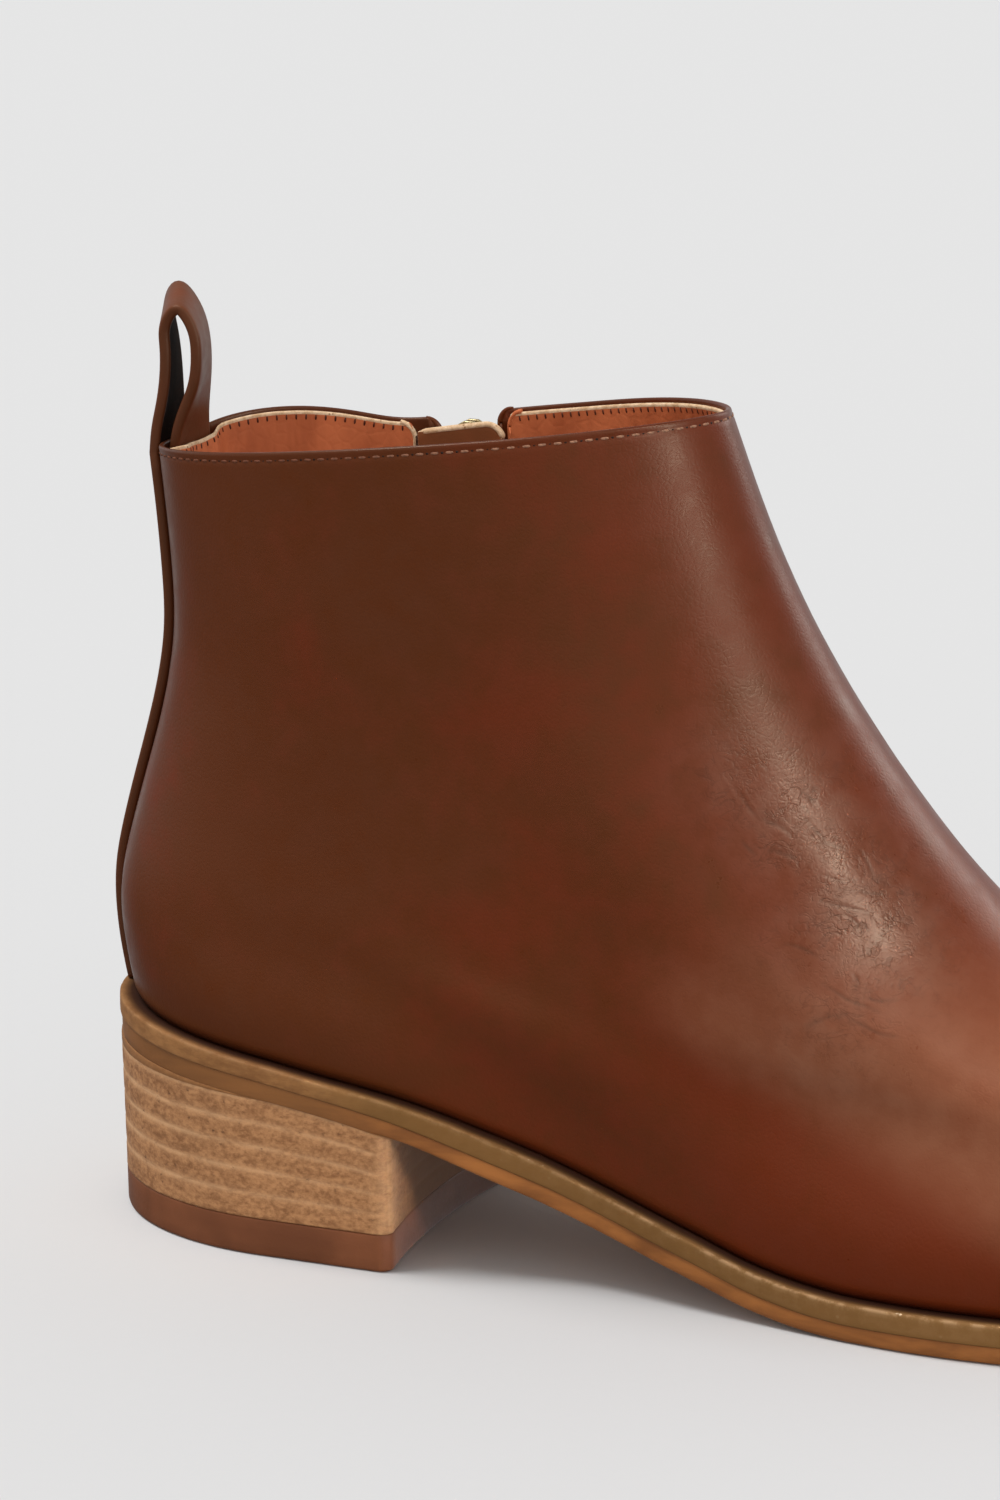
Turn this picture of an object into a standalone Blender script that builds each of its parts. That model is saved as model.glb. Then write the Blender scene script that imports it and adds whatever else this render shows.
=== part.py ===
"""Block heel boot, right foot: lasted upper, welted leather sole, stacked heel and inner side zip.

Sizes are in millimetres: x runs from the back of the heel to the toe, y from the heel's axis to the
inner side of the foot, and z up from the floor. Meshes are in metres, with the origin on the floor
under the middle of the boot.
"""

import functools
import math

import bmesh
import bpy
import numpy as np
from mathutils import Matrix, Vector

# Driving sizes
TOE_TIP = 262.0
HEEL_BACK = 4.1
BACK_REACH = 2.9
OUTER_REACH = -34.3
INNER_REACH = 47.5
GAP = 0.3
WALL = 2.2
WELT_LEDGE = 3.0
WELT_WIDTH = 13.4
OUTSOLE_INSET = 0.5
EDGE_BEVEL = 0.6

# Sole edge seen from above, before its two ends are rounded
EDGE_COLUMNS = ("x", "outer", "inner")
EDGE_ROWS = (
    (4.1, 31.8, 31.8),
    (45.0, 31.8, 31.8),
    (70.0, 31.3, 30.8),
    (98.0, 26.8, 24.0),
    (118.0, 28.2, 25.2),
    (141.0, 31.2, 32.5),
    (166.0, 34.2, 42.5),
    (186.0, 33.6, 47.0),
    (206.0, 31.0, 47.4),
    (262.0, 28.0, 48.0),
)
HEEL_END = 40.0
HEEL_POWER = 2.0
TOE_END = 66.0
TOE_POWER = 1.9
SOLE_POINTS = 72

# Sole seen from the side: underside of the outsole, and the two layers on it
SOLE_COLUMNS = ("x", "under", "outsole", "welt")
SOLE_ROWS = (
    (4.1, 32.6, 3.7, 3.5),
    (20.0, 31.4, 3.5, 3.3),
    (40.0, 29.8, 3.2, 3.0),
    (55.0, 28.0, 2.9, 2.9),
    (70.0, 25.0, 2.9, 3.3),
    (90.0, 17.5, 3.3, 3.8),
    (108.0, 11.3, 3.4, 3.6),
    (125.0, 5.9, 3.4, 3.6),
    (140.0, 1.7, 3.2, 3.7),
    (150.0, 0.3, 3.1, 3.8),
    (157.0, 0.0, 3.0, 3.8),
    (184.0, 0.0, 3.0, 3.8),
    (206.0, 1.6, 3.0, 3.8),
    (230.0, 5.2, 3.0, 3.7),
    (250.0, 9.2, 3.0, 3.6),
    (262.0, 12.0, 3.0, 3.5),
)

# Sections of the last above the feather line. Each runs from a point on the back curve to one on the
# front ridge, with half-widths at a fifth, a half and four fifths of the way.
LAST_COLUMNS = (
    "back_x", "back_z", "front_x", "front_z", "front_y", "back_radius", "front_radius",
    "outer_heel", "outer_mid", "outer_fore", "inner_heel", "inner_mid", "inner_fore", "sag", "tilt",
)
LAST_ROWS = (
    (5.2, 56.0, 252.5, 35.0, 10.0, 26.0, 24.0, 30.3, 31.0, 33.5, 30.3, 27.0, 35.5, 0.55, 0.0),
    (6.6, 67.0, 229.0, 40.8, 8.5, 25.0, 20.0, 29.8, 31.1, 31.4, 29.8, 26.4, 30.6, 0.25, 0.0),
    (10.0, 79.0, 203.0, 47.2, 7.0, 23.0, 18.0, 28.8, 30.5, 31.0, 28.8, 26.5, 25.5, 0.08, 0.0),
    (13.9, 92.0, 178.0, 61.2, 5.0, 21.0, 16.0, 27.6, 29.5, 29.2, 27.6, 26.5, 22.3, 0.0, 0.0),
    (16.6, 105.0, 158.0, 82.2, 3.0, 19.0, 15.0, 26.5, 28.5, 26.4, 26.5, 26.7, 22.0, 0.0, 0.0),
    (16.7, 117.5, 140.5, 108.0, 1.5, 17.0, 14.0, 25.5, 28.3, 23.8, 25.5, 27.6, 22.6, 0.0, 0.0),
    (15.9, 129.0, 130.0, 129.5, 0.7, 17.0, 13.0, 24.8, 28.6, 23.0, 24.8, 28.4, 22.5, 0.0, 0.02),
    (14.8, 139.8, 121.8, 152.3, 0.0, 17.0, 12.5, 24.3, 29.3, 22.5, 24.3, 28.8, 22.5, 0.0, 0.045),
)
STATIONS = (0.0, 0.2, 0.5, 0.8, 1.0)
UPPER_COLUMNS = 64
UPPER_RINGS = 25

# First section above the feather line, the same outline a little wider
SWELL = 1.3
SWELL_BACK_Z = 47.5
SWELL_FRONT_Z = 27.0
SWELL_SAG = 0.85

# Wave of the collar's inner side, which lifts behind the zip and drops at it
RIM_COLUMNS = ("x", "lift")
RIM_ROWS = (
    (14.8, 0.0),
    (17.5, 1.5),
    (21.0, 2.4),
    (27.0, 2.5),
    (33.0, 1.7),
    (39.0, 0.3),
    (46.0, -1.4),
    (52.0, -1.8),
    (68.0, -1.1),
    (82.0, -0.5),
    (97.0, 0.2),
    (110.0, 0.4),
    (121.8, 0.0),
)

# Heel
HEEL_FRONT = 69.7
HEEL_HALF = 31.3
HEEL_SEAT_BACK = 4.1
HEEL_FLOOR_BACK = 4.3
BREAST_HOLLOW = 3.0
CORNER_RADIUS = 2.4
TOP_PIECE = 7.0

# Insole
INSOLE_THICK = 2.4
PLUG_INSET = 14.0

# Strap up the back and its loop, which turns a little as it rises
STRAP_HALF = 6.0
STRAP_THICK = 2.0
STRIP_LOW = 42.0
STRIP_HIGH = 137.7
STRIP_ROWS = 21
LOOP_COLUMNS = ("x", "z", "twist", "bow")
LOOP_ROWS = (
    (13.5, 138.0, 0.0, 1.0),
    (13.7, 142.0, 4.0, 0.9),
    (14.5, 147.0, 11.0, 0.5),
    (15.2, 153.0, 17.0, 0.1),
    (15.0, 159.0, 21.0, 0.0),
    (14.6, 163.4, 24.0, 0.0),
    (16.9, 166.4, 26.0, 0.0),
    (19.7, 163.6, 24.0, 0.0),
    (21.3, 158.5, 20.0, 0.0),
    (21.0, 151.0, 15.0, 0.1),
    (19.4, 145.0, 8.0, 0.5),
    (18.5, 139.0, 0.0, 1.2),
    (19.5, 131.0, 0.0, 1.2),
)
LOOP_STEPS = 34

# Side zip, closed, with its guard behind it
ZIP_X = 60.6
ZIP_LEAN = 0.03
ZIP_LOW = 56.0
ZIP_ROWS = 15
SLOT_HALF = 6.0
SLOT_ROUND = 5.0
CUTTER_DEPTH = 7.0
CUTTER_RISE = 9.0
TAPE_HALF = 10.0
TAPE_THICK = 0.7
TAPE_LOW = 50.0
TAPE_TOP = 138.0
CHAIN_HALF = 2.7
CHAIN_LOW = 58.5
CHAIN_THICK = 1.6
GUARD_HALF = 10.6
GUARD_BACK = 2.6
GUARD_THICK = 1.0
GUARD_LOW = 47.0
GUARD_TOP = 138.8
SLIDER_Z = 135.4
SLIDER_TALL = 9.0
SLIDER_WIDE = 7.6
SLIDER_PROUD = 0.8
SLIDER_BEVEL = 0.5
BRIDGE_HALF_WIDE = 0.9
BRIDGE_HALF_TALL = 2.8
BRIDGE_BAR = 1.2
BRIDGE_CLEAR = 2.3
BRIDGE_SUNK = 0.6
PULL_LONG = 24.0
PULL_HALF = 2.9
PULL_TIP_HALF = 2.3
PULL_THICK = 1.2
PULL_PIVOT = 1.25
PULL_WINDOW_HALF = 1.6
PULL_WINDOW = 4.2
PULL_HOLE_RADIUS = 1.1
PULL_HOLE_AT = 21.0

# Finishes: colour, roughness, metallic
FINISHES = {
    "upper_leather": ((0.105, 0.030, 0.012), 0.38, 0.0),
    "strap_leather": ((0.110, 0.034, 0.015), 0.42, 0.0),
    "insole_leather": ((0.360, 0.115, 0.045), 0.55, 0.0),
    "welt_leather": ((0.190, 0.098, 0.050), 0.60, 0.0),
    "sole_leather": ((0.270, 0.115, 0.045), 0.55, 0.0),
    "stacked_leather": ((0.380, 0.205, 0.100), 0.62, 0.0),
    "top_piece_rubber": ((0.150, 0.055, 0.028), 0.60, 0.0),
    "zip_cloth": ((0.060, 0.024, 0.014), 0.85, 0.0),
    "zip_metal": ((0.300, 0.220, 0.110), 0.38, 1.0),
    "guard_leather": ((0.150, 0.050, 0.022), 0.55, 0.0),
}


# Curves and tables

def column(rows, columns, name):
    """One named column of a table."""
    return np.array([row[columns.index(name)] for row in rows])


def spline_weights(knots, at):
    """Share of each knot's value in a natural cubic spline read at the given places."""
    knots = np.asarray(knots, float)
    count = len(knots)
    step = np.diff(knots)
    bend = np.eye(count)
    rise = np.zeros((count, count))
    for i in range(1, count - 1):
        bend[i, i - 1:i + 2] = step[i - 1] / 6, (step[i - 1] + step[i]) / 3, step[i] / 6
        rise[i, i - 1:i + 2] = 1 / step[i - 1], -1 / step[i - 1] - 1 / step[i], 1 / step[i]
    second = np.linalg.solve(bend, rise)
    at = np.atleast_1d(np.asarray(at, float))
    low = np.clip(np.searchsorted(knots, at) - 1, 0, count - 2)
    span = step[low]
    far = (at - knots[low]) / span
    near = 1 - far
    unit = np.eye(count)
    curve = (near ** 3 - near)[:, None] * second[low] + (far ** 3 - far)[:, None] * second[low + 1]
    return near[:, None] * unit[low] + far[:, None] * unit[low + 1] + curve * (span ** 2 / 6)[:, None]


def level_curve(at, knots, values):
    """Smooth curve through a table's values that never overshoots them, flat where they are flat."""
    step = np.diff(knots)
    slope = np.diff(values) / step
    lean = np.zeros(len(knots))
    lean[0], lean[-1] = slope[0], slope[-1]
    for i in range(1, len(knots) - 1):
        if slope[i - 1] * slope[i] > 0:
            lean[i] = 2 * slope[i - 1] * slope[i] / (slope[i - 1] + slope[i])
    at = np.clip(np.asarray(at, float), knots[0], knots[-1])
    low = np.clip(np.searchsorted(knots, at) - 1, 0, len(knots) - 2)
    t = (at - knots[low]) / step[low]
    ends = values[low] * (1 + 2 * t) * (1 - t) ** 2 + values[low + 1] * t ** 2 * (3 - 2 * t)
    return ends + step[low] * t * (1 - t) * (lean[low] * (1 - t) - lean[low + 1] * t)


def wrap(u):
    """Brings a place around the boot back between -1 and 1."""
    return (np.asarray(u, float) + 1) % 2 - 1


def around(count):
    """Places around the boot: 0 at the back, the outer side to -1 at the toe, then the inner side."""
    return wrap(-2 * np.arange(count) / count)


def along(u):
    """Share of the length from back to front, closely spaced at both round ends."""
    return (1 - np.cos(np.pi * np.abs(u))) / 2


# Sole

def sole_level(x, *layers):
    """Height of the outsole's underside, or of the top of the named layers on it."""
    knots = column(SOLE_ROWS, SOLE_COLUMNS, "x")
    steps = [column(SOLE_ROWS, SOLE_COLUMNS, name) for name in ("under", *layers)]
    return sum(level_curve(x, knots, step) for step in steps)


def welt_level(x):
    """Height of the welt's underside."""
    return sole_level(x, "outsole") + GAP


def ledge_level(x):
    """Height of the welt's top."""
    return sole_level(x, "outsole", "welt") + GAP


def sole_edge(u):
    """Edge of the sole from above."""
    u = wrap(u)
    x = HEEL_BACK + (TOE_TIP - HEEL_BACK) * along(u)
    weights = spline_weights(column(EDGE_ROWS, EDGE_COLUMNS, "x"), x)
    outer = weights @ column(EDGE_ROWS, EDGE_COLUMNS, "outer")
    inner = weights @ column(EDGE_ROWS, EDGE_COLUMNS, "inner")
    heel = np.clip(1 - (x - HEEL_BACK) / HEEL_END, 0, 1)
    toe = np.clip(1 - (TOE_TIP - x) / TOE_END, 0, 1)
    round_heel = (1 - heel ** HEEL_POWER) ** (1 / HEEL_POWER)
    round_toe = (1 - toe ** TOE_POWER) ** (1 / TOE_POWER)
    half = (outer + inner) / 2 * round_heel * round_toe
    return np.stack([x, (inner - outer) / 2 + np.sign(u) * half], axis=-1)


def outline(u, inset):
    """The sole's edge moved inwards by an even distance."""
    nudge = 0.004
    ahead = sole_edge(u + nudge) - sole_edge(u - nudge)
    outward = np.stack([-ahead[:, 1], ahead[:, 0]], axis=-1)
    outward /= np.linalg.norm(outward, axis=1)[:, None]
    return sole_edge(u) - inset * outward


def level_ring(inset, level, lift=0.0):
    """The sole's outline at a height that follows one of the sole's levels."""
    edge = outline(around(SOLE_POINTS), inset)
    return np.column_stack([edge, level(edge[:, 0]) + lift])


# Upper

def feather(u):
    """Line where the upper meets the welt."""
    edge = outline(u, WELT_LEDGE)
    return np.column_stack([edge, ledge_level(edge[:, 0]) + GAP])


def feather_dip(u):
    """How far the feather line lies from the straight line between its two ends."""
    back, front = feather(np.array([0.0, 1.0]))[:, 2]
    return feather(u)[:, 2] - (back + (front - back) * along(u))


def swelling(u):
    """The section just above the feather line."""
    chord = SWELL_BACK_Z + (SWELL_FRONT_Z - SWELL_BACK_Z) * along(u)
    return np.column_stack([outline(u, WELT_LEDGE - SWELL), chord + SWELL_SAG * feather_dip(u)])


def last_section(row, u):
    """One tilted section of the last."""
    size = dict(zip(LAST_COLUMNS, row))
    share = along(u)
    reach = size["front_x"] - size["back_x"]
    ends = math.sqrt(size["back_radius"] * reach / 2), math.sqrt(size["front_radius"] * reach / 2)
    oval = [2 * math.sqrt(at * (1 - at)) for at in STATIONS[1:-1]]
    weights = spline_weights(STATIONS, share)
    breadth = {}
    for side in ("outer", "inner"):
        widths = [size[side + place] for place in ("_heel", "_mid", "_fore")]
        breadth[side] = weights @ np.array([ends[0], *np.divide(widths, oval), ends[1]])
    half = np.where(u < 0, -breadth["outer"], breadth["inner"]) * np.abs(np.sin(np.pi * u))
    y = size["front_y"] * share ** 2 + half
    chord = size["back_z"] + (size["front_z"] - size["back_z"]) * share
    z = chord + size["sag"] * feather_dip(u) - size["tilt"] * y
    return np.column_stack([size["back_x"] + reach * share, y, z])


def collar(u):
    """The last section, with the wave of its inner side."""
    rim = last_section(LAST_ROWS[-1], u)
    weights = spline_weights(column(RIM_ROWS, RIM_COLUMNS, "x"), rim[:, 0])
    rim[:, 2] += np.where(u > 0, weights @ column(RIM_ROWS, RIM_COLUMNS, "lift"), 0.0)
    return rim


def sections(u):
    """Every section of the upper, from the feather line to the collar."""
    between = [last_section(row, u) for row in LAST_ROWS[:-1]]
    return np.array([feather(u), swelling(u), *between, collar(u)])


@functools.lru_cache
def section_knots():
    """Spacing of the sections, from the mean of their steps at the back and along the ridge."""
    steps = np.linalg.norm(np.diff(sections(np.array([0.0, 1.0])), axis=0), axis=2).mean(axis=1)
    knots = np.concatenate([[0.0], np.cumsum(steps)])
    return knots / knots[-1]


def upper_at(u, v):
    """Points on the upper's outer face: u around it, v from 0 at the feather line to 1 at the collar."""
    return np.einsum("nr,rni->ni", spline_weights(section_knots(), v), sections(wrap(u)))


def upper_face(u, v):
    """Points on the upper's outer face and their outward normals."""
    nudge = 0.003
    over = upper_at(u + nudge, v) - upper_at(u - nudge, v)
    rise = upper_at(u, np.minimum(v + nudge, 1)) - upper_at(u, np.maximum(v - nudge, 0))
    normals = np.cross(rise, over)
    normals[v <= 0, 2] = 0
    return upper_at(u, v), normals / np.linalg.norm(normals, axis=1)[:, None]


def find_on_upper(targets, axis, start):
    """Points and normals of the upper's outer face whose x or y (axis 0 or 1) and z are the targets'."""
    nudge = 0.001
    u, v = (np.full(len(targets), value) for value in start)
    for _ in range(40):
        here = upper_at(u, v)
        over, rise = upper_at(u + nudge, v) - here, upper_at(u, v + nudge) - here
        slope = np.stack([over, rise], axis=-1)[:, [axis, 2]] / nudge
        miss = targets - here[:, [axis, 2]]
        step = np.clip(np.linalg.solve(slope, miss[:, :, None])[:, :, 0], -0.04, 0.04)
        u, v = u + step[:, 0], np.clip(v + step[:, 1], 0, 1)
    return upper_face(u, v)


def strip_on_upper(middle, half, columns, heights, axis, start):
    """A grid of points and normals on the upper: rows at the heights, columns across a strip."""
    spread = np.linspace(-1, 1, columns)
    targets = [(m + h * s, z) for m, h, z in zip(middle, half, heights) for s in spread]
    points, normals = find_on_upper(np.array(targets), axis, start)
    shape = (len(heights), columns, 3)
    return points.reshape(shape), normals.reshape(shape)


# Meshes

def place(points):
    """Millimetres from the heel to metres from the boot's origin."""
    middle = ((BACK_REACH + TOE_TIP) / 2, (OUTER_REACH + INNER_REACH) / 2, 0.0)
    return (np.asarray(points, float) - middle) / 1000


def finish(name):
    """A plain material with the finish's colour, roughness and metallic value."""
    colour, roughness, metallic = FINISHES[name]
    material = bpy.data.materials.get(name) or bpy.data.materials.new(name)
    material.use_nodes = True
    shader = material.node_tree.nodes["Principled BSDF"]
    shader.inputs["Base Color"].default_value = (*colour, 1.0)
    shader.inputs["Roughness"].default_value = roughness
    shader.inputs["Metallic"].default_value = metallic
    return material


def dress(thing, material, group):
    """Links an object to its group, with its finish and smooth shading."""
    group.objects.link(thing)
    thing.data.shade_smooth()
    thing.data.set_sharp_from_angle(angle=math.radians(35))
    thing.data.materials.append(finish(material))
    return thing


def hide(thing, group):
    """Makes an object a cutter or a joining shape only."""
    group.objects.link(thing)
    thing.hide_render = True
    thing.display_type = "WIRE"
    return thing


def solid(name, points, faces):
    """An object from a closed mesh in millimetres, with its faces turned outwards."""
    mesh = bpy.data.meshes.new(name)
    mesh.from_pydata(place(points).tolist(), [], faces)
    work = bmesh.new()
    work.from_mesh(mesh)
    bmesh.ops.recalc_face_normals(work, faces=work.faces)
    work.to_mesh(mesh)
    work.free()
    return bpy.data.objects.new(name, mesh)


def loft_faces(rings, size, closed=False):
    """Quads between rings of equal size, and back to the first ring when closed."""
    faces = []
    for ring in range(rings if closed else rings - 1):
        low, high = ring * size, (ring + 1) % rings * size
        for i in range(size):
            j = (i + 1) % size
            faces.append((low + i, low + j, high + j, high + i))
    return faces


def cover_faces(start, size, strips):
    """Cover of an outline that starts at its back: strips across it, then one face for what is left."""
    faces = [(start, start + 1, start + size - 1)]
    for i in range(1, strips):
        faces.append((start + i, start + i + 1, start + size - i - 1, start + size - i))
    return faces + [tuple(range(start + strips, start + size - strips + 1))]


def ring_solid(name, rings):
    """A solid that runs around an opening."""
    return solid(name, np.concatenate(rings), loft_faces(len(rings), len(rings[0]), closed=True))


def stacked_solid(name, rings, strips):
    """A solid of stacked outlines, covered below and above."""
    size = len(rings[0])
    faces = loft_faces(len(rings), size)
    faces += cover_faces(0, size, strips) + cover_faces((len(rings) - 1) * size, size, strips)
    return solid(name, np.concatenate(rings), faces)


def slab_solid(name, inner, outer):
    """A solid between two grids of points of the same size."""
    rows, columns = inner.shape[:2]
    rings = [np.concatenate([inner[i], outer[i][::-1]]) for i in range(rows)]
    size = 2 * columns
    faces = loft_faces(rows, size)
    for start in (0, (rows - 1) * size):
        for i in range(columns - 1):
            faces.append((start + i, start + i + 1, start + size - i - 2, start + size - i - 1))
    return solid(name, np.concatenate(rings), faces)


def flat_solid(name, outlines, half_thick, frame):
    """A flat piece cut along outlines in millimetres, the first its edge and the others its holes."""
    curve = bpy.data.curves.new(name, "CURVE")
    curve.dimensions = "2D"
    curve.fill_mode = "BOTH"
    curve.extrude = half_thick / 1000
    for points in outlines:
        spline = curve.splines.new("POLY")
        spline.points.add(len(points) - 1)
        spline.use_cyclic_u = True
        for point, (x, y) in zip(spline.points, points):
            point.co = (x / 1000, y / 1000, 0.0, 1.0)
    guide = bpy.data.objects.new(name + "_outline", curve)
    bpy.context.scene.collection.objects.link(guide)
    shape = guide.evaluated_get(bpy.context.evaluated_depsgraph_get())
    mesh = bpy.data.meshes.new_from_object(shape)
    bpy.data.objects.remove(guide)
    work = bmesh.new()
    work.from_mesh(mesh)
    bmesh.ops.remove_doubles(work, verts=work.verts, dist=1e-6)
    bmesh.ops.recalc_face_normals(work, faces=work.faces)
    work.to_mesh(mesh)
    work.free()
    thing = bpy.data.objects.new(name, mesh)
    thing.matrix_world = frame
    return thing


def add_boolean(thing, other, operation):
    cut = thing.modifiers.new(operation.lower(), "BOOLEAN")
    cut.operation = operation
    cut.object = other


# Pieces

def make_upper(group, cutters):
    """Hollow lasted shell, open at the collar, at the zip and underneath."""
    u, v = np.meshgrid(around(UPPER_COLUMNS), np.linspace(0, 1, UPPER_RINGS))
    points, normals = upper_face(u.ravel(), v.ravel())
    outside = points.reshape(UPPER_RINGS, UPPER_COLUMNS, 3)
    inside = (points - WALL * normals).reshape(outside.shape)
    upper = dress(ring_solid("upper", [*outside, *inside[::-1]]), "upper_leather", group)
    add_boolean(upper, make_slot(cutters), "DIFFERENCE")


def make_slot(cutters):
    """Cutter for the zip's opening, round at its lower end and open at the collar."""
    turn = np.radians((18, 36, 54, 72))
    heights = ZIP_LOW + np.concatenate([
        SLOT_ROUND * (1 - np.cos(turn)),
        np.linspace(SLOT_ROUND, TAPE_TOP - ZIP_LOW, ZIP_ROWS),
    ])
    short = np.clip(1 - (heights - ZIP_LOW) / SLOT_ROUND, 0, 1)
    points, normals = zip_strip(SLOT_HALF * np.sqrt(1 - short ** 2), 5, heights)
    inner, outer = points - CUTTER_DEPTH * normals, points + CUTTER_DEPTH * normals
    lift = np.array([0.0, 0.0, CUTTER_RISE])
    inner = np.concatenate([inner, inner[-1:] + lift])
    outer = np.concatenate([outer, outer[-1:] + lift])
    return hide(slab_solid("zip_slot", inner, outer), cutters)


def make_sole(group):
    """Outsole, welt ring and the insole that fills the ring."""
    strips = SOLE_POINTS // 2 - 1
    under = level_ring(OUTSOLE_INSET + EDGE_BEVEL, sole_level)
    edge = level_ring(OUTSOLE_INSET, sole_level, EDGE_BEVEL)
    top = level_ring(OUTSOLE_INSET, welt_level, -GAP)
    dress(stacked_solid("outsole", [under, edge, top], strips), "sole_leather", group)
    welt = ring_solid("welt", [
        level_ring(0.0, welt_level),
        level_ring(0.0, ledge_level, -EDGE_BEVEL),
        level_ring(EDGE_BEVEL, ledge_level),
        level_ring(WELT_WIDTH, ledge_level),
        level_ring(WELT_WIDTH, welt_level),
    ])
    dress(welt, "welt_leather", group)
    board = WELT_LEDGE + WALL + 2 * GAP
    insole = stacked_solid("insole", [
        level_ring(PLUG_INSET, welt_level),
        level_ring(PLUG_INSET, ledge_level, GAP),
        level_ring(board, ledge_level, GAP),
        level_ring(board, ledge_level, GAP + INSOLE_THICK),
    ], strips)
    dress(insole, "insole_leather", group)


def heel_outline(back):
    """Heel from above: round back, straight sides, rounded corners and a hollow breast."""
    side = []
    for turn in np.radians(range(0, 91, 9)):
        side.append((back + HEEL_END * (1 - math.cos(turn)), HEEL_HALF * math.sin(turn)))
    side.append((HEEL_FRONT - BREAST_HOLLOW - CORNER_RADIUS, HEEL_HALF))
    strips = len(side) - 1
    for turn in np.radians(range(0, 81, 20)):
        x = HEEL_FRONT - CORNER_RADIUS * (1 - math.sin(turn))
        side.append((x, HEEL_HALF - CORNER_RADIUS * (1 - math.cos(turn))))
    corner_x, corner_y = side[-1]
    rows = np.linspace(-1, 1, 11)[1:-1]
    breast = [(corner_x - BREAST_HOLLOW * (1 - s ** 2), s * corner_y) for s in rows]
    points = [(x, -y) for x, y in side] + breast + side[:0:-1]
    return np.array(points), strips


def make_heel(group):
    """Stacked block and the top piece under it, which leans in a little at the back."""
    lean = (HEEL_FLOOR_BACK - HEEL_SEAT_BACK) * TOP_PIECE / sole_level(HEEL_SEAT_BACK)
    floor, strips = heel_outline(HEEL_FLOOR_BACK)
    lift, _ = heel_outline(HEEL_FLOOR_BACK - lean)
    seat, _ = heel_outline(HEEL_SEAT_BACK)
    level = np.full(len(floor), TOP_PIECE)
    pieces = (
        ("top_piece", floor, level * 0, lift, level, "top_piece_rubber"),
        ("heel_block", lift, level + GAP, seat, sole_level(seat[:, 0]) - GAP, "stacked_leather"),
    )
    for name, low, low_z, high, high_z, material in pieces:
        rings = [np.column_stack([low, low_z]), np.column_stack([high, high_z])]
        dress(stacked_solid(name, rings, strips), material, group)


def make_back_strip(group):
    """Strap up the back, laid on the upper's own face."""
    heights = np.linspace(STRIP_LOW, STRIP_HIGH, STRIP_ROWS)
    middle = np.zeros(STRIP_ROWS)
    points, normals = strip_on_upper(middle, middle + STRAP_HALF, 7, heights, 1, (0.0, 0.4))
    strip = slab_solid("back_strip", points + GAP * normals, points + (GAP + STRAP_THICK) * normals)
    dress(strip, "strap_leather", group)


def make_pull_loop(group):
    """The strap's upper end, folded over the collar."""
    columns = [column(LOOP_ROWS, LOOP_COLUMNS, name) for name in LOOP_COLUMNS]
    length = np.concatenate([[0], np.cumsum(np.hypot(np.diff(columns[0]), np.diff(columns[1])))])
    weights = spline_weights(length, np.linspace(0, length[-1], LOOP_STEPS))
    x, z, twist, bow = (weights @ values for values in columns)
    ahead = np.stack([np.gradient(x), np.zeros(LOOP_STEPS), np.gradient(z)], axis=1)
    turn = np.radians(twist)
    wide = np.stack([-np.sin(turn), np.cos(turn), np.zeros(LOOP_STEPS)], axis=1)
    thick = np.cross(ahead, wide)
    thick *= STRAP_THICK / 2 / np.linalg.norm(thick, axis=1)[:, None]
    middle = np.stack([x, np.zeros(LOOP_STEPS), z], axis=1)
    across = np.linspace(-1, 1, 5)
    strap = middle[:, None] + STRAP_HALF * across[None, :, None] * wide[:, None]
    strap[:, :, 0] += bow[:, None] * across ** 2
    loop = slab_solid("pull_loop", strap - thick[:, None], strap + thick[:, None])
    dress(loop, "strap_leather", group)


def zip_line(z):
    """Middle of the zip at a height."""
    return ZIP_X + ZIP_LEAN * (SLIDER_Z - z)


def zip_strip(half, columns, heights, back=0.0):
    """A grid on the upper along the zip, or a little behind it."""
    half = np.broadcast_to(half, heights.shape)
    return strip_on_upper(zip_line(heights) - back, half, columns, heights, 0, (0.5, 0.6))


def make_zip_strips(group):
    """Tape, chain and guard, each a layer at its own depth from the upper's outer face."""
    chain = WALL - CHAIN_THICK
    chain_top = SLIDER_Z - SLIDER_TALL / 2 - 2 * GAP
    tape = WALL + GAP
    guard = tape + TAPE_THICK + GAP
    layers = (
        ("zip_chain", CHAIN_HALF, 0, 3, CHAIN_LOW, chain_top, chain, CHAIN_THICK, "zip_metal"),
        ("zip_tape", TAPE_HALF, 0, 7, TAPE_LOW, TAPE_TOP, tape, TAPE_THICK, "zip_cloth"),
        ("zip_guard", GUARD_HALF, GUARD_BACK, 9, GUARD_LOW, GUARD_TOP, guard, GUARD_THICK, "guard_leather"),
    )
    for name, half, back, columns, low, high, depth, thick, material in layers:
        points, normals = zip_strip(half, columns, np.linspace(low, high, ZIP_ROWS), back)
        layer = slab_solid(name, points - (depth + thick) * normals, points - depth * normals)
        dress(layer, material, group)


def slider_frame():
    """Middle of the slider on the upper's outer face: across, up along the zip, and out."""
    points, normals = zip_strip(0.0, 1, np.array([SLIDER_Z]))
    out = Vector(normals[0, 0])
    up = (Vector((0, 0, 1)) - out * out.z).normalized()
    frame = Matrix((up.cross(out), up, out)).transposed().to_4x4()
    frame.translation = place(points)[0, 0]
    return frame


def box_outline(left, right, low, high):
    return [(left, low), (right, low), (right, high), (left, high)]


def arc_outline(radius, height, degrees):
    return [(radius * math.cos(a), height + radius * math.sin(a)) for a in np.radians(degrees)]


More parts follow.
